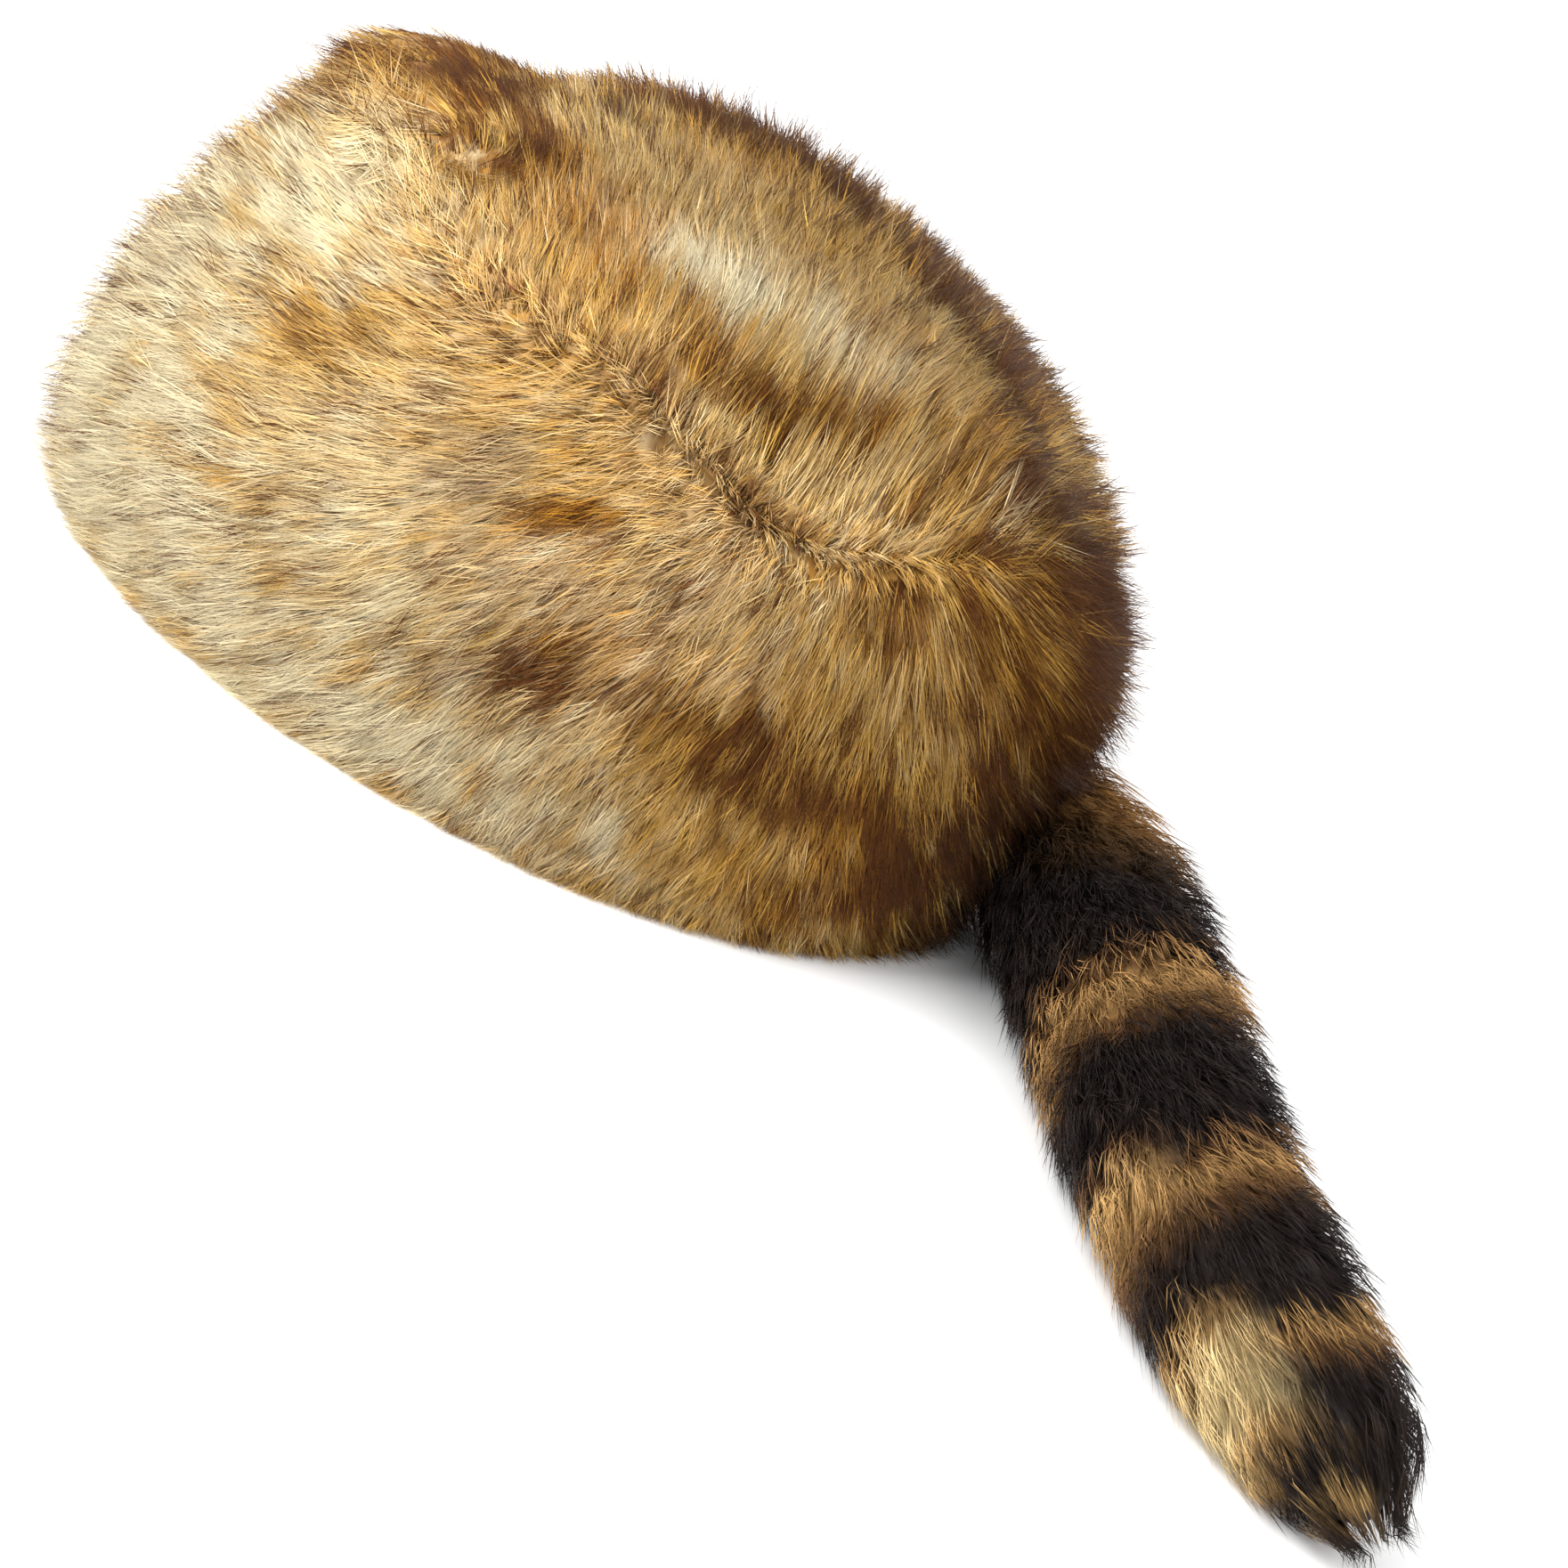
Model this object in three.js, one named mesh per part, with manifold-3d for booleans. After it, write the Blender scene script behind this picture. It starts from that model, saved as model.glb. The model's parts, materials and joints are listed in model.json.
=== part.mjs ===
// Coonskin cap: a tall oval band of pelt, an oval crown panel sewn into its top edge, and a ringed tail.
// Each piece is a thin hide with a dense underfur, and locks of guard fur that stand out of it.
// Millimetres, +Z up. The front of the cap looks along -X, and the tail lies behind it, towards -Y.
// The cap rests on its rim, with the tail laid on the same surface.

import * as THREE from 'three';
import { mergeVertices } from 'three/addons/utils/BufferGeometryUtils.js';
import Module from 'manifold-3d';

const wasm = await Module();
wasm.setup();

// Head opening, inside the hide at the rim
const HEAD_LENGTH = 200;
const HEAD_WIDTH = 165;

// Pelt: the hide, the dense underfur on it, and the full depth at the lock tips
const HIDE = 2;
const UNDERFUR = 11;
const FUR_DEPTH = 18;
const SEAM_GAP = 0.3;

// Band and crown, measured on the hide
const BAND_HEIGHT = 104;
const CROWN_RISE = 9;
const SWELL = 8;
const CREASE = 10;
const SEAM_SLOPE = 40;

// Locks of guard fur on the cap
const LOCK_LENGTH = 36;
const LOCK_WIDTH = 15;
const LOCK_THICKNESS = 5;
const LOCK_ROOT = 0.7;
const BAND_LOCK_ROWS = 4;
const BAND_LOCKS_AROUND = 30;
const CROWN_LOCK_ROWS = 3;
const CROWN_LOCK_SPACING = 24;
const CROWN_LOCK_REACH = 0.88;
const FUR_LEAN = 28;
const FUR_FAN = 38;
const CROWN_FAN = 60;

// Small differences between the locks of the cap, as shares of their spacing, length and depth
const LOCK_SHIFT = 0.4;
const ROW_SHIFT = 0.02;
const BAND_LOCK_SHORTEST = 0.85;
const BAND_LOCK_LONGEST = 1.05;
const CROWN_LOCK_SHORTEST = 0.8;
const LOWEST_FUR = 0.88;
const BAND_LEAN_SPREAD = 16;
const CROWN_LEAN_SPREAD = 24;

// Levels of the band's lock roots: the top row, and the tips of the bottom row over the rim
const TOP_ROW = 0.96;
const LOWEST_TIP = 0.03;

// Tail
const TAIL_LENGTH = 286;
const TAIL_RADIUS = 26;
const TAIL_UNDERFUR = 19;
const TAIL_SEAT_HEIGHT = 30;
const TAIL_SEAT_SIDE = 6;
const TAIL_LOCK_LENGTH = 34;
const TAIL_LOCK_WIDTH = 11;
const TAIL_LOCK_THICKNESS = 4;
const TAIL_LOCK_ROWS = 11;
const TAIL_LOCKS_AROUND = 7;
const TAIL_LOCK_SHIFT = 0.5;
const FIRST_TAIL_LOCK = 0.08;
const TAIL_LOCK_LOWEST = 0.94;
const TAIL_LOCK_HIGHEST = 1.04;
const SLEEVE_ROOM = 0.05;
const SLEEVE_END = 0.5;
const FUR_ROOM = FUR_DEPTH * 0.06;

// Fineness of the facets
const CAP_SIDES = 36;
const TAIL_SIDES = 12;
const TAIL_STEPS = 20;
const OUTER_RINGS = [0, 0.14, 0.32, 0.52, 0.7, 0.86, 1, 1.09, 1.19, 1.3, 1.43, 1.6, 1.8];
const INNER_RINGS = [0, 0.32, 0.7, 1, 1.12, 1.24, 1.4, 1.6, 1.8];

// How far the hide of the band stands out of the rim oval, as shares of SWELL.
// height: share of the band's height. front, side, back: outward offset in that direction.
const BAND_ROWS = [
  { height: 0.0, front: 0.0, side: 0.0, back: 0.0 },
  { height: 0.18, front: 0.6, side: 0.4, back: 0.45 },
  { height: 0.38, front: 0.7, side: 0.6, back: 0.85 },
  { height: 0.58, front: 0.05, side: 0.55, back: 1.2 },
  { height: 0.76, front: -0.95, side: 0.1, back: 1.15 },
  { height: 0.9, front: -1.75, side: -0.6, back: 0.2 },
  { height: 1.0, front: -2.2, side: -1.3, back: -1.1 },
];

// Height of the crown seam round the cap, as shares of BAND_HEIGHT.
// turn: degrees round from the front, by way of the -Y side.
const SEAM_ROWS = [
  { turn: 0, height: 1.04 },
  { turn: 30, height: 1.02 },
  { turn: 60, height: 0.93 },
  { turn: 85, height: 0.93 },
  { turn: 115, height: 0.81 },
  { turn: 135, height: 0.85 },
  { turn: 155, height: 0.88 },
  { turn: 180, height: 0.82 },
  { turn: 205, height: 0.86 },
  { turn: 230, height: 0.98 },
  { turn: 262, height: 1.06 },
  { turn: 285, height: 1.06 },
  { turn: 310, height: 0.96 },
  { turn: 335, height: 1.05 },
  { turn: 360, height: 1.04 },
];

// Folds and dents of the crown.
// along, across: middle, as shares of half the head opening (back is +, the far side is +).
// turn: degrees from front-to-back. long, wide: reach, as shares of half the opening's length.
// depth: share of CREASE, raised where it is negative.
const CREASES = [
  { name: 'furrow beside the near seam', along: 0.36, across: -0.7, turn: 22, long: 0.42, wide: 0.13, depth: 1.0 },
  { name: 'dip behind the front corner', along: -0.62, across: 0.62, turn: 80, long: 0.24, wide: 0.15, depth: 0.75 },
  { name: 'ridge beyond the furrow', along: 0.3, across: -0.38, turn: 10, long: 0.5, wide: 0.14, depth: -0.35 },
  { name: 'raised middle', along: -0.15, across: 0.1, turn: 30, long: 0.3, wide: 0.22, depth: -0.3 },
];

// The tail's middle line and girth, from the hide at the back of the cap to the tip.
// back, side: shares of TAIL_LENGTH behind the seat and towards -Y. lift: share of TAIL_RADIUS
// above the surface that it lies on. girth: share of TAIL_RADIUS.
const TAIL_ROWS = [
  { back: -0.04, side: 0.0, lift: 1.15, girth: 0.55 },
  { back: 0.02, side: 0.0, lift: 1.13, girth: 0.7 },
  { back: 0.075, side: 0.015, lift: 1.06, girth: 0.9 },
  { back: 0.13, side: 0.082, lift: 0.98, girth: 1.0 },
  { back: 0.168, side: 0.172, lift: 0.95, girth: 1.03 },
  { back: 0.203, side: 0.28, lift: 0.95, girth: 1.02 },
  { back: 0.268, side: 0.47, lift: 0.92, girth: 0.98 },
  { back: 0.352, side: 0.645, lift: 0.87, girth: 0.93 },
  { back: 0.421, side: 0.74, lift: 0.72, girth: 0.76 },
  { back: 0.464, side: 0.79, lift: 0.52, girth: 0.48 },
  { back: 0.49, side: 0.812, lift: 0.4, girth: 0.12 },
];

// Small helpers

const radians = THREE.MathUtils.degToRad;
const blend = THREE.MathUtils.lerp;
const ease = THREE.MathUtils.smoothstep;

// The same run of numbers from 0 to 1 each time, for the small differences between locks
const DICE_STEP = 48271;
const DICE_SIDES = 2147483647;

function makeDice(seed) {
  let state = seed;
  return () => {
    state = (state * DICE_STEP) % DICE_SIDES;
    return state / DICE_SIDES;
  };
}

// A small difference to either side of nothing
function shift(dice, width) {
  return width * (dice() - 0.5);
}

// A column of a table at any value of its key column, on a smooth curve through the rows
function readTable(rows, key, column, value) {
  const last = rows.length - 1;
  let i = 0;
  while (i < last - 1 && value > rows[i + 1][key]) i += 1;
  const slope = (a, b) => (rows[b][column] - rows[a][column]) / (rows[b][key] - rows[a][key]);
  const width = rows[i + 1][key] - rows[i][key];
  const share = (value - rows[i][key]) / width;
  const slopeIn = slope(Math.max(i - 1, 0), i + 1) * width;
  const slopeOut = slope(i, Math.min(i + 2, last)) * width;
  const square = share * share;
  const cube = square * share;
  return (2 * cube - 3 * square + 1) * rows[i][column]
    + (cube - 2 * square + share) * slopeIn
    + (3 * square - 2 * cube) * rows[i + 1][column]
    + (cube - square) * slopeOut;
}

// A closed surface over rings of points, with a point at either end
function skin(startPoint, rings, endPoint) {
  const sides = rings[0].length;
  const points = [startPoint, ...rings.flat(), endPoint];
  const index = [];
  const at = (ring, side) => 1 + ring * sides + (side % sides);
  for (let side = 0; side < sides; side += 1) {
    index.push(0, at(0, side + 1), at(0, side));
    for (let ring = 0; ring < rings.length - 1; ring += 1) {
      index.push(at(ring, side), at(ring, side + 1), at(ring + 1, side + 1));
      index.push(at(ring, side), at(ring + 1, side + 1), at(ring + 1, side));
    }
    index.push(at(rings.length - 1, side), at(rings.length - 1, side + 1), points.length - 1);
  }
  const geometry = new THREE.BufferGeometry().setFromPoints(points);
  geometry.setIndex(index);
  return geometry;
}

// Six times the volume inside a closed surface, negative where its faces point inwards
function signedVolume(positions, index) {
  const corners = [new THREE.Vector3(), new THREE.Vector3(), new THREE.Vector3()];
  let sum = 0;
  for (let i = 0; i < index.length; i += 3) {
    corners.forEach((corner, k) => corner.fromArray(positions, 3 * index[i + k]));
    sum += corners[0].dot(corners[1].cross(corners[2]));
  }
  return sum;
}

// A solid for cutting and joining, with its faces pointing outwards
function toSolid(geometry) {
  const vertProperties = new Float32Array(geometry.getAttribute('position').array);
  const triVerts = new Uint32Array(geometry.getIndex().array);
  if (signedVolume(vertProperties, triVerts) < 0) triVerts.reverse();
  return new wasm.Manifold(new wasm.Mesh({ numProp: 3, vertProperties, triVerts }));
}

function joinAll(first, others) {
  return others.reduce((whole, next) => whole.add(next), first);
}

function toMesh(solid, name, color, roughness) {
  const { vertProperties, triVerts } = solid.getMesh();
  const geometry = new THREE.BufferGeometry();
  geometry.setAttribute('position', new THREE.BufferAttribute(new Float32Array(vertProperties), 3));
  geometry.setIndex(new THREE.BufferAttribute(new Uint32Array(triVerts), 1));
  geometry.computeVertexNormals();
  const mesh = new THREE.Mesh(geometry, new THREE.MeshStandardMaterial({ color, roughness, metalness: 0 }));
  mesh.name = name;
  return mesh;
}

// The hide of the cap, as a surface over turn and level.
// turn: degrees from the front, by way of the -Y side.
// level: 0 at the rim, 1 at the crown seam, 2 at the middle of the crown.

const OUTER_HALF_LENGTH = HEAD_LENGTH / 2 + HIDE;
const OUTER_HALF_WIDTH = HEAD_WIDTH / 2 + HIDE;

function creaseAt(x, y) {
  let drop = 0;
  for (const fold of CREASES) {
    const dx = x - fold.along * HEAD_LENGTH / 2;
    const dy = y - fold.across * HEAD_WIDTH / 2;
    const angle = radians(fold.turn);
    const along = dx * Math.cos(angle) + dy * Math.sin(angle);
    const across = dy * Math.cos(angle) - dx * Math.sin(angle);
    const reachAlong = along / (fold.long * HEAD_LENGTH / 2);
    const reachAcross = across / (fold.wide * HEAD_LENGTH / 2);
    drop += fold.depth * CREASE * Math.exp(-(reachAlong ** 2) - reachAcross ** 2);
  }
  return drop;
}

// How far the band's hide stands out of the rim oval
function swellAt(turn, height) {
  const alongShare = Math.cos(radians(turn));
  const end = readTable(BAND_ROWS, 'height', alongShare > 0 ? 'front' : 'back', height);
  const side = readTable(BAND_ROWS, 'height', 'side', height);
  return SWELL * blend(side, end, alongShare ** 2);
}

// Plan of the hide at a share of the band's height
function ovalPoint(turn, height) {
  const angle = radians(turn);
  const out = swellAt(turn, height);
  const x = -Math.cos(angle) * (OUTER_HALF_LENGTH + out);
  const y = -Math.sin(angle) * (OUTER_HALF_WIDTH + out);
  return new THREE.Vector2(x, y);
}

function seamHeight(turn) {
  const wrapped = THREE.MathUtils.euclideanModulo(turn, 360);
  return BAND_HEIGHT * readTable(SEAM_ROWS, 'turn', 'height', wrapped);
}

const DOME_POWER = 3;

function hidePoint(turn, level) {
  if (level <= 1) {
    const place = ovalPoint(turn, level);
    return new THREE.Vector3(place.x, place.y, level * seamHeight(turn));
  }
  const reach = 2 - level;
  const place = ovalPoint(turn, 1).multiplyScalar(reach);
  const edgeShare = reach ** DOME_POWER;
  const top = BAND_HEIGHT + CROWN_RISE;
  return new THREE.Vector3(place.x, place.y, blend(top, seamHeight(turn), edgeShare));
}

// Outward direction of the hide, level at the rim and straight up at the middle of the crown
const LEVEL_STEP = 0.04;
const TURN_STEP = 4;
const SIDEWAYS_BELOW = 0.2;
const UPRIGHT_FROM = 1.6;

function hideNormal(turn, level) {
  const low = Math.max(level - LEVEL_STEP, 0);
  const high = Math.min(level + LEVEL_STEP, 2 - LEVEL_STEP);
  const rise = hidePoint(turn, high).sub(hidePoint(turn, Math.min(low, 2 - 2 * LEVEL_STEP)));
  const round = hidePoint(turn + TURN_STEP, Math.min(level, 2 - LEVEL_STEP))
    .sub(hidePoint(turn - TURN_STEP, Math.min(level, 2 - LEVEL_STEP)));
  const normal = round.cross(rise).normalize();
  normal.z *= ease(level, 0, SIDEWAYS_BELOW);
  const upright = ease(level, UPRIGHT_FROM, 2);
  return normal.lerp(new THREE.Vector3(0, 0, 1), upright).normalize();
}

// A point over the hide by a depth of fur. The folds of the crown sink the hide and its fur alike,
// and fade out between two levels on either side of the seam.
const FOLDS_FROM = 0.8;
const FOLDS_FULL = 1.15;

function pointOver(turn, level, depth) {
  const place = hidePoint(turn, level);
  const drop = creaseAt(place.x, place.y) * ease(level, FOLDS_FROM, FOLDS_FULL);
  place.addScaledVector(hideNormal(turn, level), depth);
  place.z -= drop;
  return place;
}

function ringOver(level, depth) {
  const ring = [];
  for (let side = 0; side < CAP_SIDES; side += 1) {
    ring.push(pointOver(side * 360 / CAP_SIDES, level, depth));
  }
  return ring;
}

// Everything inside the hide's outer face, let out by a clearance, open to below the rim
function headVolume(clearance) {
  const rings = OUTER_RINGS.map((level) => ringOver(level, clearance));
  const foot = rings[0].map((point) => new THREE.Vector3(point.x, point.y, -UNDERFUR));
  const top = pointOver(0, 2, clearance);
  return toSolid(skin(new THREE.Vector3(0, 0, -UNDERFUR), [foot, ...rings], top));
}

// Hide and underfur of the whole cap, hollow and open at the rim
function capShell() {
  const outside = OUTER_RINGS.map((level) => ringOver(level, UNDERFUR)).reverse();
  const inside = INNER_RINGS.map((level) => ringOver(level, -HIDE));
  return toSolid(skin(pointOver(0, 2, UNDERFUR), [...outside, ...inside], pointOver(0, 2, -HIDE)));
}

// Everything above the crown seam: a bowl that opens outwards at SEAM_SLOPE, let down by a clearance
const BOWL_REACHES = [0.8, 1, 1.5];
const BOWL_TOP = 2;

function aboveSeam(clearance) {
  const rings = BOWL_REACHES.map((reach) => {
    const ring = [];
    for (let side = 0; side < CAP_SIDES; side += 1) {
      const turn = side * 360 / CAP_SIDES;
      const edge = ovalPoint(turn, 1);
      const out = (reach - 1) * edge.length();
      const height = seamHeight(turn) + out * Math.tan(radians(SEAM_SLOPE)) - clearance;
      ring.push(new THREE.Vector3(edge.x * reach, edge.y * reach, height));
    }
    return ring;
  });
  const lid = rings[rings.length - 1].map((point) => point.clone().setZ(BOWL_TOP * BAND_HEIGHT));
  const bottom = new THREE.Vector3(0, 0, BAND_HEIGHT / 2);
  return toSolid(skin(bottom, [...rings, lid], new THREE.Vector3(0, 0, BOWL_TOP * BAND_HEIGHT)));
}

// One lock: a tapering wedge along a path from inside the underfur to a free tip.
// place(share) gives the middle line's point, and outward(share) the fur's outward direction there.
const LOCK_STATIONS = [
  { share: 0, width: 0.8, thickness: 0.8 },
  { share: 0.55, width: 0.95, thickness: 0.85 },
];
const AIM_SHARE = 0.1;

function makeLock(place, outward, width, thickness) {
  const rings = LOCK_STATIONS.map((station) => {
    const centre = place(station.share);
    const out = outward(station.share);
    const along = place(Math.min(station.share + AIM_SHARE, 1)).sub(centre).normalize();
    const across = along.cross(out).normalize();
    const half = width * station.width / 2;
    const thick = thickness * station.thickness;
    return [
      centre.clone().addScaledVector(across, -half).addScaledVector(out, -thick / 3),
      centre.clone().addScaledVector(across, half).addScaledVector(out, -thick / 3),
      centre.clone().addScaledVector(out, thick * 2 / 3),
    ];
  });
  return toSolid(skin(place(0), rings, place(1)));
}

// Depth of a lock's middle line over the hide, from its root in the underfur to its tip
function lockDepth(share, root, full) {
  return blend(root, full, Math.sin(share * Math.PI / 2));
}

// Locks of the band lie down from the seam. They lean towards the front, and less so behind.
function leanAt(turn) {
  const angle = radians(turn);
  const lean = FUR_LEAN + FUR_FAN * Math.cos(angle);
  return radians(lean) * Math.sin(angle);
}

function bandLock(turn, level, length, extraLean, depth) {
  const lean = leanAt(turn) + extraLean;
  const radius = (OUTER_HALF_LENGTH + OUTER_HALF_WIDTH) / 2;
  const turnSpan = THREE.MathUtils.radToDeg(length * Math.sin(lean) / radius);
  const levelSpan = length * Math.cos(lean) / seamHeight(turn);
  const spot = (share) => [turn - turnSpan * share, level - levelSpan * share];
  const root = UNDERFUR * LOCK_ROOT;
  return makeLock(
    (share) => pointOver(...spot(share), lockDepth(share, root, depth)),
    (share) => hideNormal(...spot(share)),
    LOCK_WIDTH,
    LOCK_THICKNESS,
  );
}

function bandLocks(underTail) {
  const dice = makeDice(11);
  const locks = [];
  for (let row = 0; row < BAND_LOCK_ROWS; row += 1) {
    for (let i = 0; i < BAND_LOCKS_AROUND; i += 1) {
      const turn = (i + row / 2 + shift(dice, LOCK_SHIFT)) * 360 / BAND_LOCKS_AROUND;
      const length = LOCK_LENGTH * blend(BAND_LOCK_SHORTEST, BAND_LOCK_LONGEST, dice());
      const lowest = LOWEST_TIP + length / seamHeight(turn);
      const rowShift = shift(dice, ROW_SHIFT) * (row % 3 ? 1 : 0);
      const level = blend(TOP_ROW, lowest, row / (BAND_LOCK_ROWS - 1)) + rowShift;
      const extraLean = shift(dice, radians(BAND_LEAN_SPREAD));
      const depth = FUR_DEPTH * blend(LOWEST_FUR, 1, dice());
      if (underTail(pointOver(turn, level, UNDERFUR))) continue;
      locks.push(bandLock(turn, level, length, extraLean, depth));
    }
  }
  return locks;
}

// Locks of the crown lie over it from the near seam to the far one, and fan out at its ends.
// A spot on the crown is given by its shares of the seam oval, back and to the far side.
function crownSpot(along, across) {
  const reach = Math.min(Math.hypot(along, across), 1);
  const turn = THREE.MathUtils.radToDeg(Math.atan2(-across, -along));
  return [turn, 2 - reach];
}

function crownLock(along, across, length, heading, depth) {
  const alongSpan = length * Math.sin(heading) / OUTER_HALF_LENGTH;
  const acrossSpan = length * Math.cos(heading) / OUTER_HALF_WIDTH;
  const spot = (share) => crownSpot(along + alongSpan * share, across + acrossSpan * share);
  const root = UNDERFUR * LOCK_ROOT;
  return makeLock(
    (share) => pointOver(...spot(share), lockDepth(share, root, depth)),
    (share) => hideNormal(...spot(share)),
    LOCK_WIDTH,
    LOCK_THICKNESS,
  );
}

const FIRST_ROW_BACK = 0.4;

function crownLocks() {
  const dice = makeDice(23);
  const locks = [];
  for (let row = 1; row <= CROWN_LOCK_ROWS; row += 1) {
    const reach = CROWN_LOCK_REACH * (row - FIRST_ROW_BACK) / (CROWN_LOCK_ROWS - FIRST_ROW_BACK);
    const count = Math.round(2 * Math.PI * reach * OUTER_HALF_LENGTH / CROWN_LOCK_SPACING);
    for (let i = 0; i < count; i += 1) {
      const angle = (i + 0.5 * (row % 2) + shift(dice, LOCK_SHIFT)) * 2 * Math.PI / count;
      const along = -reach * Math.cos(angle);
      const across = -reach * Math.sin(angle);
      const heading = radians(CROWN_FAN) * along + shift(dice, radians(CROWN_LEAN_SPREAD));
      const length = LOCK_LENGTH * blend(CROWN_LOCK_SHORTEST, 1, dice());
      const depth = FUR_DEPTH * blend(LOWEST_FUR, 1, dice());
      locks.push(crownLock(along, across, length, heading, depth));
    }
  }
  return locks;
}

// The tail's middle line, from inside the cap's back wall to its tip

const TAIL_SEAT = new THREE.Vector3(OUTER_HALF_LENGTH, TAIL_SEAT_SIDE, 0);

function tailLift(row, i) {
  return i < 2 ? TAIL_SEAT_HEIGHT * row.lift / TAIL_ROWS[0].lift : TAIL_RADIUS * row.lift;
}

const tailLine = new THREE.CatmullRomCurve3(TAIL_ROWS.map((row, i) => new THREE.Vector3(
  TAIL_SEAT.x + TAIL_LENGTH * row.back,
  TAIL_SEAT.y - TAIL_LENGTH * row.side,
  tailLift(row, i),
)));

const TAIL_KEYS = TAIL_ROWS.map((row, i) => ({ place: i / (TAIL_ROWS.length - 1), girth: row.girth }));

function tailRadius(place, radius) {
  return radius * readTable(TAIL_KEYS, 'place', 'girth', place);
}

// Direction away from the tail's middle line, round from its side by way of the top
function tailOutward(place, angle) {
  const along = tailLine.getTangent(place);
  const side = along.clone().cross(new THREE.Vector3(0, 0, 1)).normalize();
  const up = side.clone().cross(along).normalize();
  return side.multiplyScalar(Math.cos(angle)).addScaledVector(up, Math.sin(angle));
}

function tailPoint(place, angle, radius) {
  return tailLine.getPoint(place).addScaledVector(tailOutward(place, angle), radius);
}

// A round body along the tail between two places, with its radius let out by a share and a clearance
function tailBody(from, to, radius, clearance) {
  const rings = [];
  for (let step = 0; step <= TAIL_STEPS; step += 1) {
    const place = blend(from, to, step / TAIL_STEPS);
    const ring = [];
    for (let side = 0; side < TAIL_SIDES; side += 1) {
      ring.push(tailPoint(place, side * 2 * Math.PI / TAIL_SIDES, tailRadius(place, radius) + clearance));
    }
    rings.push(ring);
  }
  return toSolid(skin(tailLine.getPoint(from), rings, tailLine.getPoint(to)));
}

function tailLocks() {
  const dice = makeDice(37);
  const locks = [];
  const span = TAIL_LOCK_LENGTH / tailLine.getLength();
  for (let row = 0; row < TAIL_LOCK_ROWS; row += 1) {
    for (let i = 0; i < TAIL_LOCKS_AROUND; i += 1) {
      const start = blend(FIRST_TAIL_LOCK, 1 - span, (row + TAIL_LOCK_SHIFT * dice()) / TAIL_LOCK_ROWS);
      const angle = (i + row / 2 + shift(dice, TAIL_LOCK_SHIFT)) * 2 * Math.PI / TAIL_LOCKS_AROUND;
      const full = blend(TAIL_LOCK_LOWEST, TAIL_LOCK_HIGHEST, dice());
      const root = LOCK_ROOT * TAIL_UNDERFUR / TAIL_RADIUS;
      const place = (share) => start + span * share;
      locks.push(makeLock(
        (share) => {
          const reach = lockDepth(share, root, full);
          return tailPoint(place(share), angle, tailRadius(place(share), TAIL_RADIUS) * reach);
        },
        (share) => tailOutward(place(share), angle),
        TAIL_LOCK_WIDTH,
        TAIL_LOCK_THICKNESS,
      ));
    }
  }
  return locks;
}

// What lies under the surface that the cap rests on
function belowFloor() {
  const size = 2 * (HEAD_LENGTH + TAIL_LENGTH);
  const depth = 2 * (FUR_DEPTH + TAIL_RADIUS);
  const slab = new THREE.BoxGeometry(size, size, depth).translate(0, 0, -depth / 2);
  slab.deleteAttribute('normal');
  slab.deleteAttribute('uv');
  return toSolid(mergeVertices(slab));
}

// The pieces

const floor = belowFloor();
const shell = capShell();

// The room that the tail takes in the band's fur
const tailRoom = tailBody(0, SLEEVE_END, TAIL_RADIUS * (1 + SLEEVE_ROOM), SEAM_GAP + TAIL_LOCK_THICKNESS / 2);

function underTail(point) {
  const nearest = Array.from({ length: TAIL_STEPS }, (_, i) => {
    const place = SLEEVE_END * i / TAIL_STEPS;
    return tailLine.getPoint(place).distanceTo(point) - tailRadius(place, TAIL_RADIUS);
  });
  return Math.min(...nearest) < FUR_ROOM;
}

const crownPanel = joinAll(shell, crownLocks()).intersect(aboveSeam(-SEAM_GAP / 2));

const sideBand = joinAll(shell, bandLocks(underTail))
  .subtract(aboveSeam(SEAM_GAP / 2))
  .subtract(tailRoom.subtract(headVolume(0)))
  .subtract(floor);

const tail = joinAll(tailBody(0, 1, TAIL_UNDERFUR, 0), tailLocks())
  .subtract(headVolume(SEAM_GAP))
  .subtract(floor);

const cap = new THREE.Group();
cap.add(
  toMesh(crownPanel, 'crown_panel', 0xc2a06a, 0.9),
  toMesh(sideBand, 'side_band', 0xb8925a, 0.9),
  toMesh(tail, 'tail', 0x4a3322, 0.9),
);

// The origin is under the middle of the whole, on the surface that it rests on
const bounds = new THREE.Box3().setFromObject(cap);
const middle = bounds.getCenter(new THREE.Vector3());
cap.position.set(-middle.x, -middle.y, -bounds.min.z);
cap.updateMatrixWorld(true);

export default cap;
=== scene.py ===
# %% [markdown]
# # A coonskin cap in fur
#
# The real cap is three pieces of pelt sewn together: a tall oval band, a crown panel and a ringed
# tail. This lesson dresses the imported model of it. The model gives the room that each piece takes,
# and everything here is measured in metres in the model's own frame.
#
# Fur could be made with a hair system, with cards that carry a picture of hair, or with real
# strands. Real strands in joined meshes are chosen: they catch light at the edges as fur does,
# they need no pictures, and they leave the program as plain meshes.

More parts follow.
